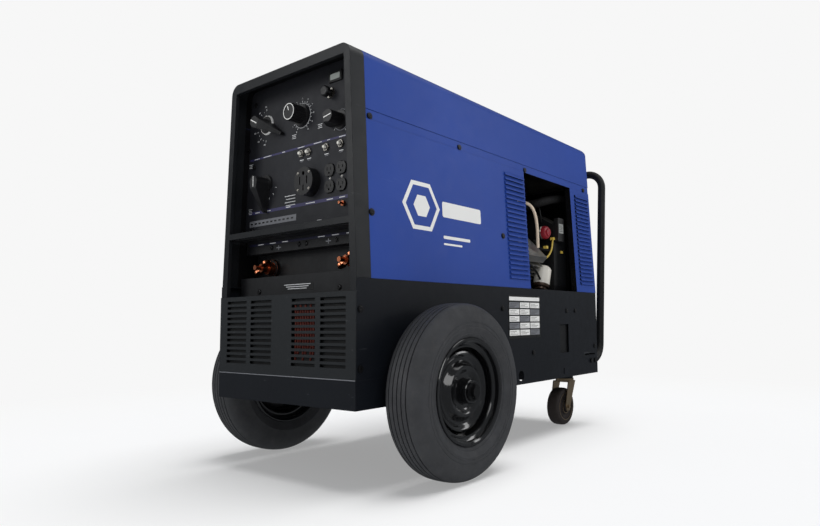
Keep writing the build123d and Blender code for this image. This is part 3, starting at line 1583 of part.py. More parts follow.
def main():
    os.makedirs("parts", exist_ok=True)
    nodes = {
        "skid_frame": skid_frame(),
        "floor_pan": floor_pan(),
        "cross_members": cross_members(),
        "base_side_panels": base_side_panels(),
        "front_vent_panel": front_vent_panel(),
        "base_rear_panel": base_rear_panel(),
        "front_bezel": front_bezel(),
        "control_panel": control_panel(),
        "terminal_panel": terminal_panel(),
        "hood": hood(),
        "side_panel_right": side_panel(),
        "side_panel_left": mirrored(side_panel()),
        "rear_posts": rear_posts(),
        "rear_panel": rear_panel(),
        "engine_door": engine_door(),
        "door_hinges": door_hinges(),
        "panel_screws": panel_screws() + handle_bolts(),
        "generator_housing": generator_housing(),
        "crank_rotor": crank_rotor(),
        "engine_block": engine_block(),
        "cylinder_heads": cylinder_heads(),
        "blower_housing": blower_housing(),
        "engine_mounts": engine_mounts(),
        "carburettor": carburettor(),
        "air_cleaner": air_cleaner(),
        "muffler": muffler(),
        "oil_filter": oil_filter(),
        "dipstick": dipstick(),
        "battery": battery(),
        "regulator_box": regulator_box(),
        "fuel_pump": fuel_pump(),
        "fuel_tank": fuel_tank(),
        "fuel_cap": fuel_cap(),
        "inner_supports": inner_supports(),
        "hoses_and_leads": [breather_hose()] + wiring(),
        "range_switch_knob": range_switch_knob(),
        "process_switch_knob": process_switch_knob(),
        "fine_control_knob": fine_control_knob(),
        "engine_switch_knob": engine_switch_knob(),
        "choke_knob": choke_knob(),
        "panel_switches": switch_bodies() + breaker_bodies(),
        "receptacles": receptacles(),
        "hour_meter": hour_meter(),
        "terminal_studs": terminal_studs(),
        "wing_nuts": wing_nuts(),
        "axle": axle(),
        "tyre_right": tyre(),
        "rim_right": [rim()] + wheel_bearing(),
        "caster_plates": [caster_plate(), mirrored(caster_plate())],
        "handle": handle(),
        "caster_fork_right": caster_fork(),
        "caster_wheel_right": caster_wheel(),
    }
    for index in range(len(breakers_at)):
        nodes[f"breaker_button_{index + 1}"] = breaker_button(index)
    for name in ("tyre", "rim", "caster_fork", "caster_wheel"):
        right = nodes[f"{name}_right"]
        pieces = right if isinstance(right, list) else [right]
        nodes[f"{name}_left"] = [mirrored(piece) for piece in pieces]
    for name, shape in nodes.items():
        write(name, shape)
    print(len(nodes), "nodes")


main()
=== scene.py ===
import math

import bmesh
import bpy
from mathutils import Matrix, Vector


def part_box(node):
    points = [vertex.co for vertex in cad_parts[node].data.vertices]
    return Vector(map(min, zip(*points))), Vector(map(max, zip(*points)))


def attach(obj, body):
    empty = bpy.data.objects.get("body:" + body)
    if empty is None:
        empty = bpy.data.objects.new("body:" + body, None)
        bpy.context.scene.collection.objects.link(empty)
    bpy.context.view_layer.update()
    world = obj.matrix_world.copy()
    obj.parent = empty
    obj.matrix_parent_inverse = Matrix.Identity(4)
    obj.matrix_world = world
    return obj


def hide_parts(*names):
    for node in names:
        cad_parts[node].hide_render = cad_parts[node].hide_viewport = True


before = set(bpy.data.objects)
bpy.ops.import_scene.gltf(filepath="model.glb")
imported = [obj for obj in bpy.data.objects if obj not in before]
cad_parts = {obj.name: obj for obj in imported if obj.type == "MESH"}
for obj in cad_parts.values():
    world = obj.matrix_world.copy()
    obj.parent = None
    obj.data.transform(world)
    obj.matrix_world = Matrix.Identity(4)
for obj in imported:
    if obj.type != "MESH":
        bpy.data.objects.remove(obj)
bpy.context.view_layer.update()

# Metres, in the CAD frame: X to the machine's right side, Y from the control end to the rear, Z up.
MM = 0.001
IDENTITY = Matrix.Identity(4)
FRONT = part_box("skid_frame")[0].y
PANEL_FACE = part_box("control_panel")[0].y
SKID_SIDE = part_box("base_side_panels")[1].x

# Sizes and places below are in millimetres. The blue body leans in from its foot to its top.
BODY_FOOT = 459.0
BODY_HEIGHT = 532.0
HALF_WIDTH_AT_FOOT = 253.0
HALF_WIDTH_AT_TOP = 226.5
LEAN = math.atan((HALF_WIDTH_AT_FOOT - HALF_WIDTH_AT_TOP) / BODY_HEIGHT)
CASTER_X = 152
CASTER_STATION = 1098

# Controls as (x, z) on the control panel.
RANGE_AT = (-152, 886)
PROCESS_AT = (-150, 728)
FINE_AT = (-8, 882)
ENGINE_AT = (136, 842)
CHOKE_AT = (99, 915)
METER_AT = (117, 952)
ROUND_SOCKET_AT = (29, 706)
DUPLEX_SCREWS = ((98, 706), (139.5, 706))
BREAKER_X = (-8, 20, 85, 137)
BREAKER_Z = 784


def station(distance):
    """Y of a distance in millimetres measured back from the front."""
    return FRONT + distance * MM


def metres(points):
    """Pairs in millimetres, such as (radius, height), in metres."""
    return [(first * MM, second * MM) for first, second in points]


# ---- materials

def linear(colour):
    """Linear colour from 8-bit display numbers."""
    def channel(value):
        value /= 255
        return value / 12.92 if value <= 0.04045 else ((value + 0.055) / 1.055) ** 2.4
    return (*[channel(value) for value in colour], 1.0)


class Nodes:
    """Short ways to add and link shader nodes."""

    def __init__(self, name):
        self.material = bpy.data.materials.new(name)
        self.material.use_nodes = True
        self.tree = self.material.node_tree
        self.shader = self.tree.nodes["Principled BSDF"]
        coordinates = self.tree.nodes.new("ShaderNodeTexCoord")
        self.place = coordinates.outputs["Object"]
        self.normal = self.tree.nodes.new("ShaderNodeNewGeometry").outputs["Normal"]

    def link(self, source, target):
        if isinstance(source, (int, float, tuple)):
            target.default_value = source
        else:
            self.tree.links.new(source, target)

    def noise(self, scale, detail=2.0, rough=0.5, stretch=None):
        node = self.tree.nodes.new("ShaderNodeTexNoise")
        node.inputs["Scale"].default_value = scale
        node.inputs["Detail"].default_value = detail
        node.inputs["Roughness"].default_value = rough
        place = self.place
        if stretch:
            mapping = self.tree.nodes.new("ShaderNodeMapping")
            mapping.inputs["Scale"].default_value = stretch
            self.link(place, mapping.inputs["Vector"])
            place = mapping.outputs["Vector"]
        self.link(place, node.inputs["Vector"])
        return node.outputs["Fac"]

    def ranged(self, value, low, high, to_low, to_high):
        node = self.tree.nodes.new("ShaderNodeMapRange")
        for socket, number in zip(("From Min", "From Max", "To Min", "To Max"), (low, high, to_low, to_high)):
            node.inputs[socket].default_value = number
        self.link(value, node.inputs["Value"])
        return node.outputs["Result"]

    def math(self, kind, first, second=0.0):
        node = self.tree.nodes.new("ShaderNodeMath")
        node.operation = kind
        self.link(first, node.inputs[0])
        self.link(second, node.inputs[1])
        return node.outputs[0]

    def mix(self, factor, first, second):
        node = self.tree.nodes.new("ShaderNodeMix")
        node.data_type = "RGBA"
        self.link(factor, node.inputs[0])
        self.link(first, node.inputs[6])
        self.link(second, node.inputs[7])
        return node.outputs[2]

    def axis(self, source, index):
        node = self.tree.nodes.new("ShaderNodeSeparateXYZ")
        self.link(source, node.inputs[0])
        return node.outputs[index]

    def facing_in(self):
        """1 on faces that look towards the machine's middle, 0 on its outside."""
        away = self.tree.nodes.new("ShaderNodeVectorMath")
        away.operation = "SUBTRACT"
        away.inputs[1].default_value = (0.0, 0.0, 0.72)
        self.link(self.place, away.inputs[0])
        scale = self.tree.nodes.new("ShaderNodeVectorMath")
        scale.operation = "MULTIPLY"
        scale.inputs[1].default_value = (1.0, 0.42, 1.0)
        self.link(away.outputs["Vector"], scale.inputs[0])
        dot = self.tree.nodes.new("ShaderNodeVectorMath")
        dot.operation = "DOT_PRODUCT"
        self.link(self.normal, dot.inputs[0])
        self.link(scale.outputs["Vector"], dot.inputs[1])
        return self.ranged(dot.outputs["Value"], -0.01, -0.03, 0.0, 1.0)

    def bump(self, height, strength, distance, normal=None):
        node = self.tree.nodes.new("ShaderNodeBump")
        node.inputs["Strength"].default_value = strength
        node.inputs["Distance"].default_value = distance
        self.link(height, node.inputs["Height"])
        if normal:
            self.link(normal, node.inputs["Normal"])
        return node.outputs["Normal"]

    def bevel(self, radius):
        node = self.tree.nodes.new("ShaderNodeBevel")
        node.samples = 4
        node.inputs["Radius"].default_value = radius
        return node.outputs["Normal"]


def shade(colour, share):
    """A linear colour made lighter or darker by a share."""
    return (*[min(1.0, channel * share) for channel in colour[:3]], 1.0)


def surface(name, colour, rough, metal=0.0, tint=0.12, grain=700.0, bump=0.15, depth=0.0002, specular=0.5,
            coat=0.0, dust=0.0, scuff=0.0, scuff_colour=(120, 122, 126), arris=0.0, spread=0.08, brushed=None,
            painted_inside_shade=False):
    """A worn, slightly uneven surface: broad tint, smudged gloss, fine grain, dust on top and thin scuffs,
    and, where asked, painted shade on faces turned towards the machine's middle.
    """
    n = Nodes(name)
    base = linear(colour)
    broad = n.ranged(n.noise(4.0, 4.0), 0.3, 0.7, 0.0, 1.0)
    result = n.mix(broad, shade(base, 1 - tint), shade(base, 1 + tint))
    # Painted shade: faces turned towards the machine's middle get near black (14, 14, 16) in place of the
    # surface's own colour.
    if painted_inside_shade:
        result = n.mix(n.facing_in(), result, linear((14, 14, 16)))
    smudge = n.noise(31.0, 6.0, 0.62)
    gloss = n.ranged(smudge, 0.3, 0.7, max(0.03, rough - spread), min(1.0, rough + spread))
    if dust:
        up = n.ranged(n.axis(n.normal, 2), 0.2, 1.0, 0.0, dust)
        patches = n.ranged(n.noise(55.0, 5.0, 0.7), 0.35, 0.75, 0.25, 1.0)
        settled = n.math("MULTIPLY", up, patches)
        result = n.mix(settled, result, linear((132, 128, 120)))
        gloss = n.math("ADD", gloss, n.math("MULTIPLY", settled, 0.5))
    if scuff:
        lines = n.ranged(n.noise(60.0, 3.0, 0.5, stretch=(1.0, 0.14, 1.6)), 0.70, 0.76, 0.0, scuff)
        result = n.mix(lines, result, linear(scuff_colour))
        gloss = n.math("ADD", gloss, n.math("MULTIPLY", lines, 0.25))
    n.link(result, n.shader.inputs["Base Color"])
    n.link(gloss, n.shader.inputs["Roughness"])
    n.shader.inputs["Metallic"].default_value = metal
    n.shader.inputs["Specular IOR Level"].default_value = specular
    n.shader.inputs["Coat Weight"].default_value = coat
    n.shader.inputs["Coat Roughness"].default_value = 0.08
    height = n.noise(grain, 3.0, 0.6, stretch=brushed)
    base_normal = n.bevel(arris) if arris else None
    n.link(n.bump(height, bump, depth, base_normal), n.shader.inputs["Normal"])
    return n.material


PAINT = {
    # The blue's faces turned towards the machine's middle carry painted shade, near black.
    "blue": surface("blue_powder_coat", (40, 70, 152), 0.40, tint=0.05, grain=900.0, bump=0.10, depth=0.00015,
                    specular=0.16, dust=0.01, scuff=0.10, scuff_colour=(92, 112, 176), arris=0.0012,
                    spread=0.05, painted_inside_shade=True),
    "base": surface("base_black_paint", (20, 23, 29), 0.42, tint=0.10, grain=650.0, bump=0.22, specular=0.22,
                    dust=0.04, scuff=0.16, arris=0.0010),
    "vent": surface("front_black_texture", (31, 34, 37), 0.48, tint=0.08, grain=620.0, bump=0.30,
                    specular=0.3, dust=0.04, scuff=0.10, arris=0.0008),
    "bezel": surface("bezel_charcoal", (24, 26, 29), 0.38, tint=0.06, grain=800.0, bump=0.20, specular=0.30,
                     dust=0.03, scuff=0.10, arris=0.0016),
    "panel": surface("panel_charcoal", (36, 37, 42), 0.52, tint=0.05, grain=1100.0, bump=0.22, specular=0.28,
                     dust=0.05, arris=0.0006),
    "recess": surface("recess_black", (22, 23, 26), 0.55, tint=0.06, grain=900.0, bump=0.2, specular=0.4),
    "inner": surface("inner_black_paint", (17, 18, 20), 0.55, tint=0.15, grain=400.0, bump=0.25,
                     specular=0.35, dust=0.20),
    "cast": surface("cast_iron_dark", (46, 45, 44), 0.62, metal=0.35, tint=0.22, grain=260.0, bump=0.55,
                    depth=0.0006, dust=0.25),
    "alloy": surface("cast_alloy_fins", (150, 150, 150), 0.40, metal=0.85, tint=0.14, grain=340.0, bump=0.35,
                     depth=0.0004, dust=0.15, scuff=0.2),
    "zinc": surface("zinc_plate", (176, 172, 164), 0.30, metal=1.0, tint=0.16, grain=500.0, bump=0.12,
                    dust=0.12, scuff=0.3, scuff_colour=(120, 110, 96)),
    "bronze_zinc": surface("yellow_zinc", (150, 132, 108), 0.34, metal=0.9, tint=0.22, grain=420.0, bump=0.2,
                           dust=0.15, scuff=0.35, scuff_colour=(96, 80, 62)),
    "screw": surface("black_oxide_screw", (30, 30, 32), 0.34, metal=0.6, tint=0.2, grain=900.0, bump=0.15),
    "shaft": surface("turned_steel", (168, 168, 170), 0.24, metal=1.0, tint=0.08, grain=1200.0, bump=0.12,
                     brushed=(1.0, 0.05, 1.0), scuff=0.15),
    "copper": surface("copper_plate", (206, 128, 92), 0.28, metal=1.0, tint=0.14, grain=700.0, bump=0.12,
                      scuff=0.25, scuff_colour=(120, 66, 44)),
    "winding": surface("copper_winding", (96, 38, 28), 0.38, metal=0.55, tint=0.2, grain=300.0, bump=0.4),
    "bush": surface("sintered_bronze", (176, 128, 84), 0.36, metal=0.9, tint=0.18, grain=900.0, bump=0.3),
    "knob": surface("knob_black_plastic", (20, 20, 22), 0.38, tint=0.08, grain=1400.0, bump=0.2, specular=0.5,
                    scuff=0.08, arris=0.0008),
    "plastic": surface("matt_black_plastic", (24, 24, 26), 0.48, tint=0.08, grain=1300.0, bump=0.25,
                       arris=0.0005),
    "socket": surface("receptacle_black", (16, 16, 17), 0.40, tint=0.06, grain=1500.0, bump=0.15,
                      arris=0.0004),
    "grey_plastic": surface("grey_label_plastic", (150, 152, 150), 0.5, tint=0.06, grain=1200.0, bump=0.1),
    "white_plastic": surface("white_plastic", (228, 226, 218), 0.38, tint=0.05, grain=900.0, bump=0.12,
                             dust=0.10, scuff=0.08, scuff_colour=(160, 150, 132)),
    "filter": surface("white_filter_paint", (224, 220, 210), 0.34, tint=0.06, grain=600.0, bump=0.12,
                      dust=0.10, scuff=0.2, scuff_colour=(140, 118, 92)),
    "filter_base": surface("oily_steel", (70, 54, 44), 0.42, metal=0.5, tint=0.3, grain=300.0, bump=0.35),
    "red": surface("red_pump_plastic", (140, 26, 40), 0.42, tint=0.12, grain=900.0, bump=0.2),
    "muffler": surface("muffler_aluminised", (72, 70, 68), 0.52, metal=0.7, tint=0.25, grain=260.0, bump=0.3,
                       dust=0.2, scuff=0.3, scuff_colour=(110, 84, 62)),
    "rubber": surface("hose_rubber", (26, 26, 27), 0.62, tint=0.10, grain=800.0, bump=0.35, specular=0.35,
                      dust=0.1),
    "mount": surface("mount_rubber", (22, 22, 23), 0.75, tint=0.12, grain=500.0, bump=0.4, specular=0.3),
    "rim": surface("rim_gloss_black", (13, 13, 15), 0.13, tint=0.10, grain=240.0, bump=0.05, depth=0.0005,
                   specular=0.6, coat=0.5, dust=0.03, scuff=0.05, spread=0.05),
    "caster_tread": surface("caster_rubber", (46, 40, 38), 0.66, tint=0.14, grain=520.0, bump=0.4,
                            specular=0.3, dust=0.15, scuff=0.2, scuff_colour=(90, 82, 76)),
    "white": surface("white_vinyl", (238, 238, 236), 0.42, tint=0.02, grain=1500.0, bump=0.05, specular=0.4),
    "label_white": surface("white_print", (212, 214, 216), 0.5, tint=0.04, grain=1500.0, bump=0.05),
    "label_grey": surface("grey_print", (118, 120, 126), 0.5, tint=0.06, grain=1500.0, bump=0.05),
    "label_black": surface("black_label_film", (12, 12, 13), 0.32, tint=0.05, grain=1500.0, bump=0.05),
    "stripe": surface("indigo_print", (52, 50, 92), 0.5, tint=0.05, grain=1500.0, bump=0.05),
    "navy": surface("navy_print", (22, 22, 50), 0.45, tint=0.05, grain=1500.0, bump=0.05),
    "cable_white": surface("cream_cable_sheath", (224, 206, 184), 0.42, tint=0.08, grain=700.0, bump=0.15),
    "yellow": surface("yellow_terminal", (206, 178, 78), 0.42, tint=0.1, grain=900.0, bump=0.15),
    "glass": surface("meter_window", (170, 176, 172), 0.12, tint=0.06, grain=900.0, bump=0.02, coat=0.6),
}


def rubber_tyre():
    """Tyre rubber: random tone patches, moulding bloom and fine grain."""
    n = Nodes("tyre_rubber")
    base = linear((58, 59, 62))
    patches = n.ranged(n.noise(14.0, 6.0, 0.65), 0.3, 0.7, 0.0, 1.0)
    result = n.mix(patches, shade(base, 0.80), shade(base, 1.16))
    bloom = n.ranged(n.noise(48.0, 5.0, 0.7), 0.52, 0.80, 0.0, 0.20)
    result = n.mix(bloom, result, linear((96, 92, 90)))
    n.link(result, n.shader.inputs["Base Color"])
    n.link(n.ranged(n.noise(38.0, 5.0), 0.3, 0.7, 0.56, 0.74), n.shader.inputs["Roughness"])
    n.shader.inputs["Specular IOR Level"].default_value = 0.42
    fine = n.math("ADD", n.noise(900.0, 3.0), n.math("MULTIPLY", n.noise(160.0, 3.0), 0.6))
    n.link(n.bump(fine, 0.35, 0.0004), n.shader.inputs["Normal"])
    return n.material


PAINT["tyre"] = rubber_tyre()


# ---- mesh building

def place(origin, x_dir, y_dir):
    """Matrix whose local X, Y and Z run along x_dir, y_dir and their cross product."""
    x = Vector(x_dir).normalized()
    z = x.cross(Vector(y_dir)).normalized()
    y = z.cross(x)
    return Matrix.Translation(Vector(origin)) @ Matrix((x, y, z)).transposed().to_4x4()


def on_panel(x, z, lift=0.0, y=None):
    """Local X right, Y up and Z towards the operator, at (x, z) in millimetres on the control panel."""
    face = PANEL_FACE if y is None else y
    return place((x * MM, face - lift * MM, z * MM), (1, 0, 0), (0, 0, 1))


def along_x(x, y, z, side=1):
    """Local Z outward along X on one side of the machine."""
    return place((x, y, z), (0, side, 0), (0, 0, 1))


class Shape:
    """One piece's mesh, built up from turned, extruded and swept parts."""

    def __init__(self):
        self.verts = []
        self.faces = []
        self.paints = []
        self.face_paint = []

    def paint(self, name):
        if name not in self.paints:
            self.paints.append(name)
        return self.paints.index(name)

    def add(self, points, faces, paint, matrix):
        start = len(self.verts)
        self.verts += [matrix @ Vector(point) for point in points]
        self.faces += [[start + index for index in face] for face in faces]
        self.face_paint += [self.paint(paint)] * len(faces)
        return self

    def turn(self, profile, matrix, paint, segments=96, closed=False):
        """Revolves (radius, height) points about local Z.

        A closed profile makes a ring. An open one closes only where it starts or ends on the axis.
        """
        points = []
        faces = []
        count = len(profile)
        for step in range(segments):
            angle = 2 * math.pi * step / segments
            points += [(r * math.cos(angle), r * math.sin(angle), h) for r, h in profile]
        last = count if closed else count - 1
        for step in range(segments):
            here = step * count
            after = ((step + 1) % segments) * count
            for index in range(last):
                follow = (index + 1) % count
                faces.append((here + index, after + index, after + follow, here + follow))
        return self.add(points, faces, paint, matrix)

    def extrude(self, outline, low, high, matrix, paint):
        """A prism of (x, y) points between two local heights."""
        count = len(outline)
        points = [(x, y, low) for x, y in outline] + [(x, y, high) for x, y in outline]
        faces = [tuple(range(count))[::-1], tuple(range(count, 2 * count))]
        faces += [(i, (i + 1) % count, count + (i + 1) % count, count + i) for i in range(count)]
        return self.add(points, faces, paint, matrix)

    def box(self, x0, x1, y0, y1, z0, z1, matrix, paint):
        return self.extrude([(x0, y0), (x1, y0), (x1, y1), (x0, y1)], z0, z1, matrix, paint)

    def sweep(self, line, radii, paint, sides=16):
        """A capped tube along a line of points, with one radius or a radius for each point."""
        line = [Vector(point) for point in line]
        if isinstance(radii, (int, float)):
            radii = [radii] * len(line)
        across = Vector((0, 0, 1))
        points = []
        for index, point in enumerate(line):
            ahead = (line[min(index + 1, len(line) - 1)] - line[max(index - 1, 0)]).normalized()
            if abs(ahead.dot(across)) > 0.98:
                across = Vector((1, 0, 0))
            across = (across - ahead * across.dot(ahead)).normalized()
            other = ahead.cross(across)
            for side in range(sides):
                angle = 2 * math.pi * side / sides
                offset = across * math.cos(angle) + other * math.sin(angle)
                points.append(point + offset * radii[index])
        faces = [tuple(range(sides))[::-1], tuple(range(len(points) - sides, len(points)))]
        for index in range(len(line) - 1):
            for side in range(sides):
                a = index * sides + side
                b = index * sides + (side + 1) % sides
                faces.append((a, b, b + sides, a + sides))
        return self.add(points, faces, paint, IDENTITY)

    def make(self, name, body, replaces=(), smooth=38.0, bevel=0.0):
        """Makes the mesh object, closes and smooths it, and rides it on its body."""
        mesh = bpy.data.meshes.new(name)
        mesh.from_pydata(self.verts, [], self.faces)
        for paint in self.paints:
            mesh.materials.append(PAINT[paint])
        mesh.polygons.foreach_set("material_index", self.face_paint)
        work = bmesh.new()
        work.from_mesh(mesh)
        bmesh.ops.remove_doubles(work, verts=work.verts, dist=1e-6)
        bmesh.ops.dissolve_degenerate(work, edges=work.edges, dist=1e-7)
        bmesh.ops.recalc_face_normals(work, faces=work.faces)
        work.to_mesh(mesh)
        work.free()
        mesh.polygons.foreach_set("use_smooth", [True] * len(mesh.polygons))
        mesh.set_sharp_from_angle(angle=math.radians(smooth))
        piece = bpy.data.objects.new(name, mesh)
        bpy.context.scene.collection.objects.link(piece)
        if bevel:
            modifier = piece.modifiers.new("edges", "BEVEL")
            modifier.width = bevel
            modifier.segments = 2
            modifier.limit_method = "ANGLE"
            modifier.angle_limit = math.radians(40)
        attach(piece, body)
        if replaces:
            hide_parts(*replaces)
        return piece


def circle(radius, count=32, x=0.0, y=0.0, start=0.0):
    """Points round a circle."""
    angles = [start + 2 * math.pi * step / count for step in range(count)]
    return [(x + radius * math.cos(angle), y + radius * math.sin(angle)) for angle in angles]


def rounded_box(width, height, radius, x=0.0, y=0.0, steps=5):
    """Outline of a rectangle with round corners, centred on (x, y)."""
    points = []
    for corner, (sx, sy) in enumerate(((1, 1), (-1, 1), (-1, -1), (1, -1))):
        cx = x + sx * (width / 2 - radius)
        cy = y + sy * (height / 2 - radius)
        for step in range(steps + 1):
            angle = math.pi / 2 * (corner + step / steps)
            points.append((cx + radius * math.cos(angle), cy + radius * math.sin(angle)))
    return points


def flowing(points, steps=10):
    """A smooth line that starts and ends at the first and last points."""
    points = [Vector(point) for point in points]
    ends = [points[0]] + points + [points[-1]]
    line = [points[0]]
    for index in range(1, len(ends) - 1):
        start = (ends[index - 1] + ends[index]) / 2
        finish = (ends[index] + ends[index + 1]) / 2
        for step in range(1, steps + 1):
            t = step / steps
            line.append(start * (1 - t) ** 2 + ends[index] * 2 * t * (1 - t) + finish * t * t)
    line.append(points[-1])
    return line


def route(points, steps):
    """A smooth line through the bay from (x, distance from the front, z) in millimetres."""
    return flowing([(x * MM, station(distance), z * MM) for x, distance, z in points], steps)


# ---- finishes of the CAD nodes (a node that a piece replaces keeps one too, unseen)

FINISH = {
    "base": ("skid_frame", "cross_members", "floor_pan", "base_side_panels", "base_rear_panel",
             "caster_plates"),
    "vent": ("front_vent_panel",),
    "bezel": ("front_bezel",),
    "panel": ("control_panel",),
    "recess": ("terminal_panel",),
    "blue": ("hood", "side_panel_right", "side_panel_left", "rear_posts", "rear_panel", "engine_door"),
    "inner": ("inner_supports", "blower_housing", "fuel_tank", "generator_housing", "handle", "battery"),
    "cast": ("engine_block", "carburettor"),
    "alloy": ("cylinder_heads",),
    "shaft": ("crank_rotor",),
    "zinc": ("door_hinges", "dipstick"),
    "screw": ("panel_screws", "axle"),
    "bronze_zinc": ("caster_fork_right", "caster_fork_left"),
    "plastic": ("air_cleaner", "panel_switches", "fuel_cap", "hour_meter", "regulator_box"),
    "socket": ("receptacles",),
    "muffler": ("muffler",),
    "mount": ("engine_mounts",),
    "filter": ("oil_filter",),
    "red": ("fuel_pump",),
    "rubber": ("hoses_and_leads",),
    "copper": ("terminal_studs", "wing_nuts"),
    "knob": ("range_switch_knob", "process_switch_knob", "fine_control_knob", "engine_switch_knob",
             "choke_knob"),
    "white_plastic": ("breaker_button_1", "breaker_button_2", "breaker_button_3", "breaker_button_4"),
    "tyre": ("tyre_right", "tyre_left"),
    "rim": ("rim_right", "rim_left"),
    "caster_tread": ("caster_wheel_right", "caster_wheel_left"),
}
for paint, nodes in FINISH.items():
    for node in nodes:
        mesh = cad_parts[node].data
        mesh.materials.clear()
        mesh.materials.append(PAINT[paint])

# ---- helpers for prints, screws, dials and sheets

def panel_print(shape, x, z, width, height, paint, lift=0.25, y=None):
    """A thin printed block centred at (x, z) in millimetres on the control panel or on a plane at y."""
    half_x, half_z = width * MM / 2, height * MM / 2
    matrix = on_panel(x, z, 0.0, y)
    return shape.box(-half_x, half_x, -half_z, half_z, -0.2 * MM, lift * MM, matrix, paint)


def body_side(distance, height, side=1, out=0.0):
    """Local X back along the machine, Y up and Z outward on the leaning blue side."""
    x = (HALF_WIDTH_AT_FOOT - math.tan(LEAN) * (height - BODY_FOOT)) * MM
    matrix = place((x, station(distance), height * MM), (0, 1, 0), (-math.sin(LEAN), 0, math.cos(LEAN)))
    matrix = matrix @ Matrix.Translation((0, 0, out * MM))
    return matrix if side > 0 else Matrix.Diagonal((-1, 1, 1, 1)) @ matrix


def base_side(distance, height, side=1, out=0.0):
    """Local X back along the machine, Y up and Z outward on the upright base side."""
    matrix = place((SKID_SIDE + out * MM, station(distance), height * MM), (0, 1, 0), (0, 0, 1))
    return matrix if side > 0 else Matrix.Diagonal((-1, 1, 1, 1)) @ matrix


SCREW_HEAD = [(0.0, 1.3), (1.9, 1.3), (2.0, 3.0), (3.4, 3.35), (5.4, 3.1), (6.6, 2.3), (7.0, 1.2), (7.0, 0.3),
              (8.6, 0.25), (8.6, -0.2)]


def screw(shape, matrix, paint="screw", size=1.0):
    """A pan head with a recess, on a thin washer."""
    shape.turn(metres([(r * size, h * size) for r, h in SCREW_HEAD]), matrix, paint, 28)


def dial(shape, place_at, radius, first, last, marks, long_every=2):
    """Radial tick marks between two angles round a control."""
    x, z = place_at
    for mark in range(marks):
        angle = math.radians(first + (last - first) * mark / (marks - 1))
        reach = 5.5 if mark % long_every == 0 else 3.0
        spot = on_panel(x, z) @ Matrix.Rotation(angle, 4, "Z")
        shape.box(radius * MM, (radius + reach) * MM, -0.55 * MM, 0.55 * MM, -0.2 * MM, 0.4 * MM, spot,
                  "label_white")


def dial_ring(shape, place_at, radius, paint="label_white", width=1.0):
    """A thin printed ring round a control."""
    x, z = place_at
    ring = ((radius, -0.2), (radius, 0.4), (radius + width, 0.4), (radius + width, -0.2))
    shape.turn(metres(ring), on_panel(x, z), paint, 96, closed=True)


GLYPHS = {0: "abcdef", 1: "bc", 2: "abged", 3: "abgcd", 4: "fgbc", 5: "afgcd", 6: "afgedc", 7: "abc",
          8: "abcdefg", 9: "abcdfg"}
STROKES = {"a": (0, 2, 1, 0), "b": (0.5, 1.5, 0, 1), "c": (0.5, 0.5, 0, 1), "d": (0, 0, 1, 0),
           "e": (-0.5, 0.5, 0, 1), "f": (-0.5, 1.5, 0, 1), "g": (0, 1, 1, 0)}


def numeral(shape, value, x, z, size):
    """A dial number in seven strokes per figure."""
    for place_index, figure in enumerate(str(value)):
        left = x + (place_index - (len(str(value)) - 1) / 2) * size * 1.7
        for stroke in GLYPHS[int(figure)]:
            sx, sz, wide, tall = STROKES[stroke]
            panel_print(shape, left + sx * size, z + (sz - 1) * size, size * (1.15 * wide + 0.3 * tall),
                        size * (1.15 * tall + 0.3 * wide), "label_white", 0.4)


def pointer(name, body, place_at, angle, start, end, lift, width):
    """A white line along a knob."""
    mark = Shape()
    spot = on_panel(*place_at, lift) @ Matrix.Rotation(math.radians(angle), 4, "Z")
    mark.box(start * MM, end * MM, -width / 2 * MM, width / 2 * MM, -0.4 * MM, 0.3 * MM, spot, "white")
    mark.make(name, body)


def sheet_box(shape, x0, x1, s0, s1, z0, z1, paint="inner"):
    """A plain sheet between two X, two distances from the front and two heights, in millimetres."""
    shape.box(x0 * MM, x1 * MM, station(s0), station(s1), z0 * MM, z1 * MM, IDENTITY, paint)


# ---- front wheels

RIM_STEPS = [(19, 46), (26, 46), (27.5, 44), (28, 24), (31, 19), (40, 18), (45, 21), (49, 26), (52, 27.5),
             (58, 27.5), (61, 25), (66, 16), (70, 13), (76, 12.5), (80, 15), (84, 19), (87, 20), (91, 19),
             (95, 13), (98, 2), (100.5, 1), (101.5, 8), (103, 24), (107, 29), (111.5, 31), (112.5, 41),
             (116, 43.6), (121.5, 44), (123, 42.5), (122.6, 40.4), (116, 40), (114.8, 32), (114.6, 27),
             (101, 26), (101, -26), (114.6, -27), (114.8, -40), (122.6, -40.4), (123, -42.5), (121.5, -44),
             (116, -43.6), (111.5, -41), (111.5, -31), (98, -22), (97, -2), (92, 4), (60, 12), (34, 6),
             (29, 2), (28, -24), (27.5, -44), (26, -46), (19, -46)]


def wheel(side):
    """Stepped gloss rim with its bush on one side of the machine."""
    label = "right" if side > 0 else "left"
    low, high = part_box("rim_" + label)
    centre = (low + high) / 2
    hub = along_x(centre.x, centre.y, centre.z, side)
    rim = Shape()
    rim.turn(metres(RIM_STEPS), hub, "rim", 160, closed=True)
    for turn in range(4):
        angle = math.pi / 4 + turn * math.pi / 2
        spot = hub @ Matrix.Translation((37 * MM * math.cos(angle), 37 * MM * math.sin(angle), 18 * MM))
        rim.turn(metres([(0, 1.4), (4, 1.2), (4.6, 0.2), (4.6, -1)]), spot, "rim", 20)
    rim.turn(metres([(2.6, 43.2), (4.2, 45), (4.2, 60), (2.8, 60), (2.8, 45)]),
             hub @ Matrix.Translation((0, -118 * MM, -16 * MM)), "rubber", 20, closed=True)
    rim.turn(metres([(12.6, 45.6), (18.9, 45.6), (18.9, -45.6), (12.6, -45.6)]),
             hub, "bush", 64, closed=True)
    rim.make("wheel_rim_" + label, "wheel_" + label, ("rim_" + label,), smooth=32)


wheel(1)
wheel(-1)


TYRE_WALL = 51.0
SHOULDER_START = 146  # inside this radius the wall slopes in


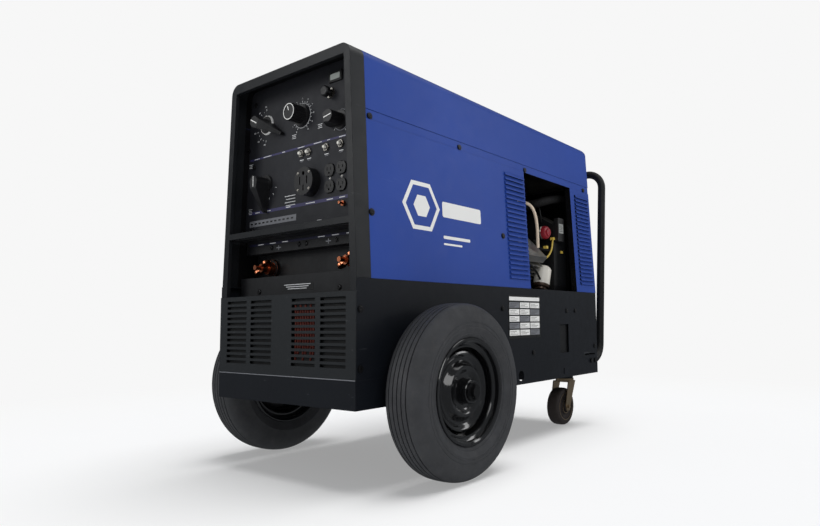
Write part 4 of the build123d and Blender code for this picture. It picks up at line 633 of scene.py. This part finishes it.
def tyre_mouldings(side):
    """Raised bands moulded on the tyre's outer wall."""
    label = "right" if side > 0 else "left"
    low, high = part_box("tyre_" + label)
    centre = (low + high) / 2
    hub = along_x(centre.x, centre.y, centre.z, side)
    bands = Shape()
    for radius in (131.0, 150.0, 158.5):
        face = TYRE_WALL if radius > SHOULDER_START else TYRE_WALL - (SHOULDER_START - radius) * 0.49
        ring = ((radius - 1.2, face - 0.6), (radius - 0.8, face + 0.7), (radius + 0.8, face + 0.7),
                (radius + 1.2, face - 0.6))
        bands.turn(metres(ring), hub, "tyre", 160, closed=True)
    bands.make("tyre_bands_" + label, "wheel_" + label)


tyre_mouldings(1)
tyre_mouldings(-1)

# ---- control panel

print_work = Shape()
for band_z, band_height in ((801.5, 5.0), (656.0, 8.0)):
    panel_print(print_work, 0, band_z, 452, band_height, "stripe")
for x, width in ((-196, 22), (-150, 34), (-82, 12), (-12, 26), (52, 30), (92, 10), (140, 22)):
    panel_print(print_work, x, 801.5, width, 1.8, "label_white", 0.4)
for x, width in ((-190, 20), (-148, 30), (-60, 18), (26, 34), (98, 22), (141, 20)):
    panel_print(print_work, x, 656.0, width, 2.2, "label_white", 0.4)
for x in BREAKER_X:
    panel_print(print_work, x, BREAKER_Z - 16, 15, 2.0, "label_white", 0.4)
    panel_print(print_work, x, BREAKER_Z - 20, 10, 1.3, "label_grey", 0.4)
for line in range(4):
    indent = line % 2
    panel_print(print_work, -53 + 2 * indent, 684 - 8 * line, 42 - 5 * indent, 1.5, "label_white", 0.4)
for x, z, rows in ((-222, 790, 3), (-222, 668, 4), (-40, 838, 3), (60, 846, 3), (186, 842, 4),
                   (182, 706, 5), (60, 610, 2)):
    for row in range(rows):
        panel_print(print_work, x, z - 4.2 * row, 16 - 3 * (row % 2), 1.4, "label_white", 0.4)
panel_print(print_work, -126, 627, 196, 16, "label_grey", 0.4)
for x in range(-214, -36, 17):
    panel_print(print_work, x, 627, 9, 4, "label_black", 0.6)

dial(print_work, RANGE_AT, 40, 96, 262, 11)
dial(print_work, PROCESS_AT, 38, 200, 340, 6, 1)
dial(print_work, FINE_AT, 33, -60, 240, 21, 2)
dial_ring(print_work, FINE_AT, 31, "label_white", 0.8)
dial(print_work, ENGINE_AT, 27, 60, 300, 4, 1)
dial_ring(print_work, ENGINE_AT, 24.5, "label_grey", 1.4)
dial_ring(print_work, RANGE_AT, 25, "label_white", 0.9)
for x, z in DUPLEX_SCREWS:
    dial_ring(print_work, (x, z), 3.2, "label_grey", 1.0)
print_work.make("panel_printing", "root")

numbers = Shape()
for step in range(11):
    angle = math.radians(240 - 30 * step)
    numeral(numbers, step, FINE_AT[0] + 44 * math.cos(angle), FINE_AT[1] + 44 * math.sin(angle), 1.7)
for step in range(6):
    angle = math.radians(98 + 32 * step)
    numeral(numbers, 50 + 50 * step, RANGE_AT[0] + 56 * math.cos(angle), RANGE_AT[1] + 52 * math.sin(angle),
            1.7)
numbers.make("dial_numbers", "root")

panel_bolts = Shape()
for x, z in ((-205, 952), (205, 952), (-212, 610), (212, 610), (-208, 780), (208, 780)):
    screw(panel_bolts, on_panel(x, z), "screw", 0.8)
for x, z in DUPLEX_SCREWS:
    screw(panel_bolts, on_panel(x, z), "zinc", 0.38)
for angle in range(45, 405, 90):
    spot = math.radians(angle)
    x, z = ROUND_SOCKET_AT
    screw(panel_bolts, on_panel(x + 29 * math.cos(spot), z + 29 * math.sin(spot), 25), "zinc", 0.4)
panel_bolts.make("panel_fixings", "root")

pointer("range_pointer", "range_switch", RANGE_AT, 152, -13, 15, 42.3, 2.2)
pointer("process_pointer", "process_switch", PROCESS_AT, -90, -13, 14, 42.3, 2.0)
pointer("fine_pointer", "fine_control", FINE_AT, 110, 4, 16, 41.3, 2.2)
pointer("engine_pointer", "engine_switch", ENGINE_AT, 190, -12, 14, 42.3, 2.2)
knob_ring = Shape()
knob_ring.turn(metres([(18.6, 41.2), (18.6, 42.6), (20.4, 42.6), (20.4, 41.2)]),
               on_panel(*FINE_AT), "white", 72, closed=True)
knob_ring.make("fine_knob_ring", "fine_control")
hub_ring = Shape()
hub_ring.turn(metres([(23.4, 0.4), (23.4, 4.6), (24.6, 4.4), (24.6, 0.4)]),
              on_panel(*RANGE_AT), "white", 72, closed=True)
hub_ring.make("range_knob_ring", "range_switch")
plates = Shape()
plates.turn(metres([(8, 0.2), (8, 2.2), (19, 2.2), (20.5, 0.2)]),
            on_panel(*ENGINE_AT), "zinc", 60, closed=True)
plates.turn(metres([(9, 0.2), (9, 3.2), (13.5, 3.2), (15, 0.2)]),
            on_panel(*CHOKE_AT), "zinc", 6, closed=True)
for x in BREAKER_X:
    plates.turn(metres([(6.9, 0.2), (6.9, 4.4), (9.6, 4.4), (10.6, 0.2)]),
                on_panel(x, BREAKER_Z), "zinc", 6, closed=True)
plates.extrude(metres(rounded_box(34, 14, 2)), 0, 0.6 * MM, on_panel(*METER_AT, 3.6), "glass")
plates.make("control_nuts", "root")

# ---- weld terminals

HEADER_FACE = station(60)
SILL_FACE = station(45)
STUD_FACE = station(95)

front_prints = Shape()
panel_print(front_prints, 0, 569, 440, 6, "navy", 0.4, HEADER_FACE)
for x in (-170, -120, -70, 70, 120, 170):
    panel_print(front_prints, x, 569, 24, 1.8, "label_white", 0.6, HEADER_FACE)
for x in (-95, 95):
    panel_print(front_prints, x, 556, 18, 2.6, "label_grey", 0.4, HEADER_FACE)
    panel_print(front_prints, x, 556, 2.6, 12, "label_grey", 0.5, HEADER_FACE)
panel_print(front_prints, 0, 452, 120, 18, "label_black", 0.4, SILL_FACE)
for row in range(3):
    panel_print(front_prints, 0, 457 - 5 * row, 100 - 14 * row, 1.8, "label_white", 0.6, SILL_FACE)
for x in (-152, 152):
    screw(front_prints, on_panel(x, 444, 0, SILL_FACE), "screw", 0.9)
for x in (-124, -14, 14, 124):
    screw(front_prints, on_panel(x, 557, 0, HEADER_FACE), "screw", 0.8)
front_prints.make("terminal_printing", "root")

insulators = Shape()
for x in (-160, 160):
    rings = ((6.6, 7.6), (17, 7.9), (17.5, 9.2), (22, 9.2), (24, 7.5), (24.2, 1.0))
    insulators.turn(metres(rings), on_panel(x, 507, 0, STUD_FACE), "socket", 60)
insulators.make("terminal_bushes", "root")

# ---- behind the front vents

coils = Shape()
for x in (-181, -80, 80, 181):
    coils.extrude(metres(rounded_box(88, 168, 6)), 0, 2 * MM,
                  place((x * MM, station(9.5), 346 * MM), (1, 0, 0), (0, 0, 1)), "inner")
for index in range(9):
    x = 45 + 9 * index
    strand = route([(x, 8, 275 + 14 * (index % 3)), (x + 4, 6.5, 340), (x, 8, 405 - 12 * (index % 2))], 6)
    coils.sweep(strand, 3.4 * MM, "winding", 10)
coils.make("front_baffles", "root")

# ---- liners that close the bays

liner = Shape()

for side in (-1, 1):
    sheet_box(liner, *sorted((side * 246, side * 247.5)), 862, 968, 246, 450)
    sheet_box(liner, *sorted((side * 205, side * 206.5)), 1040, 1150, 466, 812)
    sheet_box(liner, *sorted((side * 212, side * 213.5)), 596, 708, 466, 812)
sheet_box(liner, -206, 206, 1149, 1151, 246, 812)
sheet_box(liner, -228, 228, 120, 122, 560, 820)
liner.make("bay_liners", "root")

# ---- side of the machine


def side_details(side):
    """Screws, placard and plain badge on one side."""
    label = "right" if side > 0 else "left"
    trims = Shape()
    for distance, height in ((54, 148), (577, 148)):
        screw(trims, body_side(distance, BODY_FOOT + height, side, 0.2), "screw", 1.0)
    for distance in (58, 390, 722, 1120):
        screw(trims, body_side(distance, 829, side, -1.0), "screw", 0.95)
    for distance, height in ((13, 392), (13, 265), (557, 398), (719, 267), (935, 394), (995, 394),
                             (1136, 272)):
        screw(trims, base_side(distance, height, side, 0.2), "screw", 0.95)
    trims.make("side_fixings_" + label, "root")
    badge = Shape()
    at = body_side(224, 645, side, 0.05)
    badge.extrude(metres(circle(69, 6)), 0, 0.5 * MM, at, "white")
    badge.extrude(metres(circle(57, 6)), 0.4 * MM, 0.7 * MM, at, "blue")
    badge.extrude(metres(circle(30, 6)), 0.6 * MM, 0.9 * MM, at, "white")
    for start, end, low, high in ((304, 470, 628, 668), (304, 416, 572, 580), (304, 380, 556, 561)):
        spot = body_side((start + end) / 2, (low + high) / 2, side, 0.05)
        outline = rounded_box(end - start, high - low, min(5, (high - low) / 2.5))
        badge.extrude(metres(outline), 0, 0.5 * MM, spot, "white")
    badge.make("side_badge_" + label, "root", smooth=20)
    card = Shape()
    middle = base_side(674, 374.5, side, 0.05)
    card.extrude(metres(rounded_box(178, 125, 3)), 0, 0.5 * MM, middle, "label_black")
    blocks = [(-84, 84, 47, 58, "white")]
    for row in range(5):
        for column in range(3):
            x0 = -84 + column * 57
            y1 = 42 - row * 20
            blocks.append((x0, x0 + 53, y1 - 16, y1, "white" if (row + column) % 3 else "label_grey"))
    for x0, x1, y0, y1, paint in blocks:
        card.box(x0 * MM, x1 * MM, y0 * MM, y1 * MM, 0.4 * MM, 0.7 * MM, middle, paint)
    for row in range(5):
        for column in range(3):
            x0 = -80 + column * 57
            y1 = 38 - row * 20
            for line in range(3):
                width = 42 - 9 * ((row + line + column) % 3)
                card.box(x0 * MM, (x0 + width) * MM, (y1 - 1 - 4 * line) * MM, (y1 - 4 * line) * MM,
                         0.6 * MM, 0.8 * MM, middle, "label_black")
    card.make("data_card_" + label, "root", smooth=20)


side_details(1)
side_details(-1)

# ---- engine bay

bay = Shape()
ribbed_hose = route([(123.3, 890, 755), (165, 900, 757), (176, 980, 783), (163, 1142, 814)], 24)
bay.sweep(ribbed_hose, [(15.0 if index % 2 else 12.4) * MM for index in range(len(ribbed_hose))],
          "rubber", 24)
bay.sweep(route([(105.3, 805, 752), (193, 809, 750), (201, 845, 705), (201, 849, 600)], 14), 5.2 * MM,
          "cable_white", 20)
for points, radius, paint in (
        ([(160, 889, 632), (172, 905, 622), (162, 925, 606), (189, 952, 600)], 3.6, "rubber"),
        ([(155, 952, 700), (166, 931, 722), (149, 947, 765)], 3.0, "rubber"),
        ([(150, 880, 590), (196, 890, 560), (205, 930, 590), (199, 953, 640)], 3.0, "yellow"),
        ([(120, 760, 600), (190, 770, 560), (200, 830, 530), (188, 880, 500)], 3.6, "rubber"),
        ([(130, 950, 480), (190, 965, 520), (196, 990, 560), (196, 1000, 625)], 3.2, "rubber")):
    bay.sweep(route(points, 12), radius * MM, paint, 14)
for distance, height in ((905, 607), (1007, 598), (952, 640)):
    bay.extrude(metres(rounded_box(12, 9, 2)), -6 * MM, 6 * MM,
                place((198 * MM, station(distance), height * MM), (0, 1, 0), (0, 0, 1)), "yellow")
bay.make("bay_hoses", "root", ("hoses_and_leads",))
battery_cable = Shape()
cable_route = [(-49, 118, 420), (60, 122, 425), (120, 138, 393), (165, 185, 300), (168, 719, 290)]
battery_cable.sweep(route(cable_route, 14), 5.0 * MM, "rubber", 14)
battery_cable.make("battery_cable", "root")

filter_at = (Matrix.Translation((178 * MM, station(893), 450 * MM))
             @ Matrix.Rotation(math.radians(-17), 4, "X")
             @ Matrix.Translation((0, 0, 16.3 * MM)))
can = Shape()
can.turn(metres([(0, 0), (20, 0), (20, 8), (27, 8), (28, 10), (28, 18)]), filter_at, "filter_base", 60)
can.turn(metres([(28, 18), (28.1, 60), (27.6, 70), (25, 77), (20, 81), (0, 82)]),
         filter_at, "filter", 60)
for turn in range(14):
    spot = filter_at @ Matrix.Rotation(turn * math.pi / 7, 4, "Z")
    spot = spot @ Matrix.Translation((26.9 * MM, 0, 66 * MM))
    can.box(-1 * MM, 1.1 * MM, -2.2 * MM, 2.2 * MM, -7 * MM, 7 * MM, spot, "filter")
can.make("spin_on_filter", "root", ("oil_filter",))

pump = Shape()
pump_at = along_x(168 * MM, station(925), 660 * MM)
pump.turn(metres([(0, 0), (20, 0), (22, 2), (22, 9), (20.5, 10.5)]), pump_at, "zinc", 60)
pump.turn(metres([(20.5, 10.5), (22, 12), (22, 22), (19, 27), (13, 28.5), (12, 33), (0, 34)]),
          pump_at, "red", 60)
pump.box(176 * MM, 184 * MM, station(925), station(955), 652 * MM, 668 * MM, IDENTITY, "zinc")
pump.make("round_pump", "root", ("fuel_pump",))

box_label = Shape()
box_label.box(216 * MM, 216.4 * MM, station(966), station(996), 660 * MM, 692 * MM, IDENTITY, "grey_plastic")
for row in range(4):
    box_label.box(216.3 * MM, 216.6 * MM, station(969), station(990 - 4 * (row % 2)), (666 + 6 * row) * MM,
                  (667.6 + 6 * row) * MM, IDENTITY, "label_black")
box_label.make("regulator_label", "root")

# ---- casters


def caster(side):
    """Stepped wheel with moulded rings on its faces."""
    label = "right" if side > 0 else "left"
    low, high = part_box("caster_wheel_" + label)
    centre = (low + high) / 2
    hub = along_x(centre.x, centre.y, centre.z, side)
    half = [(6.1, 27), (15, 27), (16, 26), (16, 17), (20, 16.5), (21, 21.5), (24, 22), (25.5, 17), (40, 16),
            (43, 17.5), (44.5, 21.2), (47, 22), (56, 21.6), (60, 19.5), (62.6, 15), (63.5, 8)]
    profile = half + [(r, -h) for r, h in half[::-1]]
    roller = Shape()
    roller.turn(metres(profile), hub, "caster_tread", 120, closed=True)
    for face in (1, -1):
        for inner, outer, height in ((21.4, 23.8, 22.2), (44.8, 46.6, 22.1)):
            ring = ((inner, height - 1), (inner, height + 0.25), (outer, height + 0.25), (outer, height - 1))
            roller.turn(metres([(r, face * h) for r, h in ring]), hub, "bronze_zinc", 96, closed=True)
    roller.make("caster_roller_" + label, "caster_roller_" + label, ("caster_wheel_" + label,))
    bolts = Shape()
    for dx in (-36, 36):
        for dy in (-36, 36):
            spot = Matrix.Translation((side * CASTER_X * MM + dx * MM, station(CASTER_STATION) + dy * MM,
                                       173 * MM))
            spot = spot @ Matrix.Rotation(math.pi, 4, "X")
            bolts.extrude(metres(circle(7.5, 6)), 0, 5.5 * MM, spot, "zinc")
    bolts.make("caster_bolts_" + label, "root")


caster(1)
caster(-1)

# ---- small trim

trim = Shape()
sheet_box(trim, -253, 253, -0.6, 0.4, 240.2, 242.0, "label_grey")
cap_top = Matrix.Translation((-120 * MM, station(300), 1006 * MM))
trim.turn(metres([(0, 0.9), (20, 0.9), (22, 0.1), (30, 0.1), (30, -0.5)]), cap_top, "plastic", 60)
trim.make("front_seam_trim", "root")

# ---- floor, backdrop and light

BACKDROP = 0.93
FLOOR_ALBEDO = 0.86
FLOOR_RADIUS = 70.0
DOME_RADIUS = 72.0
FADE = (1.3, 2.4)
SHADOW_LIFT = 0.34  # share of the floor near the machine that glows, so that its shadows stay pale
SUN_STRENGTH = 2.97
SUN_ANGLE = math.radians(44)
ROOM_STRENGTH = 0.20


def emission(name, strength):
    """A plain white glow."""
    material = bpy.data.materials.new(name)
    material.use_nodes = True
    tree = material.node_tree
    tree.nodes.remove(tree.nodes["Principled BSDF"])
    glow = tree.nodes.new("ShaderNodeEmission")
    glow.inputs["Color"].default_value = (1, 1, 1, 1)
    glow.inputs["Strength"].default_value = strength
    tree.links.new(glow.outputs[0], tree.nodes["Material Output"].inputs["Surface"])
    return material


def floor_material():
    """Pale matt floor near the machine, fading to the backdrop's brightness further out."""
    n = Nodes("pale_floor")
    tint = n.ranged(n.noise(2.0, 3.0), 0.3, 0.7, 0.0, 1.0)
    colour = n.mix(tint, (FLOOR_ALBEDO,) * 3 + (1,), (FLOOR_ALBEDO * 1.01,) * 3 + (1,))
    n.link(colour, n.shader.inputs["Base Color"])
    n.shader.inputs["Roughness"].default_value = 0.9
    n.shader.inputs["Specular IOR Level"].default_value = 0.0
    n.link(n.bump(n.noise(300.0, 2.0), 0.03, 0.0002), n.shader.inputs["Normal"])
    tree = n.tree
    glow = tree.nodes.new("ShaderNodeEmission")
    glow.inputs["Strength"].default_value = BACKDROP
    length = tree.nodes.new("ShaderNodeVectorMath")
    length.operation = "LENGTH"
    n.link(n.place, length.inputs[0])
    far = n.ranged(length.outputs["Value"], *FADE, SHADOW_LIFT, 1.0)
    blend = tree.nodes.new("ShaderNodeMixShader")
    n.link(far, blend.inputs[0])
    n.link(n.shader.outputs[0], blend.inputs[1])
    n.link(glow.outputs[0], blend.inputs[2])
    n.link(blend.outputs[0], tree.nodes["Material Output"].inputs["Surface"])
    return n.material


def stage_disc(name, radius, z, material):
    """A flat round floor."""
    mesh = bpy.data.meshes.new(name)
    points = [(radius * math.cos(a), radius * math.sin(a), z)
              for a in [2 * math.pi * step / 96 for step in range(96)]]
    mesh.from_pydata(points, [], [tuple(range(96))])
    mesh.materials.append(material)
    disc = bpy.data.objects.new(name, mesh)
    bpy.context.scene.collection.objects.link(disc)
    return disc


floor = stage_disc("floor", FLOOR_RADIUS, 0.0, floor_material())
work = bmesh.new()
bmesh.ops.create_uvsphere(work, u_segments=48, v_segments=24, radius=DOME_RADIUS)
dome_mesh = bpy.data.meshes.new("backdrop")
work.to_mesh(dome_mesh)
work.free()
dome_mesh.materials.append(emission("backdrop_white", BACKDROP))
dome = bpy.data.objects.new("backdrop", dome_mesh)
bpy.context.scene.collection.objects.link(dome)
# Only the camera sees the dome, and gloss doesn't mirror the floor.
for attribute in ("visible_diffuse", "visible_glossy", "visible_transmission", "visible_shadow"):
    setattr(dome, attribute, False)
floor.visible_glossy = False

not_floor = bpy.data.collections.new("lit_by_keys")
not_floor.objects.link(floor)
not_floor.collection_objects[0].light_linking.link_state = "EXCLUDE"


def softbox(name, location, target, width, height, power):
    """An area light, in metres and watts, that leaves the floor out."""
    light = bpy.data.lights.new(name, "AREA")
    light.shape = "RECTANGLE"
    light.size = width
    light.size_y = height
    light.energy = power
    lamp = bpy.data.objects.new(name, light)
    lamp.location = location
    lamp.rotation_euler = (Vector(target) - Vector(location)).to_track_quat("-Z", "Y").to_euler()
    bpy.context.scene.collection.objects.link(lamp)
    lamp.light_linking.receiver_collection = not_floor
    return lamp


softbox("key", (3.2, -2.2, 2.6), (0.1, -0.1, 0.55), 2.2, 2.2, 40.0)
softbox("front_fill", (-1.6, -3.6, 1.9), (0, -0.5, 0.5), 1.8, 1.8, 34.0)
softbox("rim_strip", (2.6, 2.6, 2.0), (0.2, 0.3, 0.5), 0.8, 2.2, 18.0)
softbox("overhead", (0.9, 0.9, 3.6), (0.0, 0.0, 0.0), 2.6, 2.6, 26.0)

floor_only = bpy.data.collections.new("lit_by_sun")
floor_only.objects.link(floor)
sun_data = bpy.data.lights.new("floor_sun", "SUN")
sun_data.energy = SUN_STRENGTH
sun_data.angle = SUN_ANGLE
sun = bpy.data.objects.new("floor_sun", sun_data)
sun.rotation_euler = Vector((-0.12, -0.12, -1.0)).to_track_quat("-Z", "Y").to_euler()
bpy.context.scene.collection.objects.link(sun)
sun.light_linking.receiver_collection = floor_only

world = bpy.data.worlds.new("room")
bpy.context.scene.world = world
world.use_nodes = True
world.node_tree.nodes["Background"].inputs["Color"].default_value = (0.9, 0.95, 1.0, 1)
world.node_tree.nodes["Background"].inputs["Strength"].default_value = ROOM_STRENGTH
bpy.context.scene.view_settings.view_transform = "Standard"

# ---- camera

YAW, PITCH, ROLL = math.radians(36.9), math.radians(5.1), math.radians(-0.7)
EYE = (1.2401, FRONT - 0.9151, 0.3621)
FOCAL_LENGTH = 27.46
SHIFT = (-0.0713, 0.0034)
forward = Vector((-math.sin(YAW) * math.cos(PITCH), math.cos(YAW) * math.cos(PITCH), math.sin(PITCH)))
level = Vector((math.cos(YAW), math.sin(YAW), 0))
upright = level.cross(forward)
right = level * math.cos(ROLL) + upright * math.sin(ROLL)
up = right.cross(forward)
camera_data = bpy.data.cameras.new("camera")
camera_data.sensor_width = 36.0
camera_data.lens = FOCAL_LENGTH
camera_data.shift_x, camera_data.shift_y = SHIFT
camera_data.clip_end = 300.0
camera = bpy.data.objects.new("camera", camera_data)
camera.matrix_world = Matrix.Translation(EYE) @ Matrix((right, up, -forward)).transposed().to_4x4()
bpy.context.scene.collection.objects.link(camera)
bpy.context.scene.camera = camera
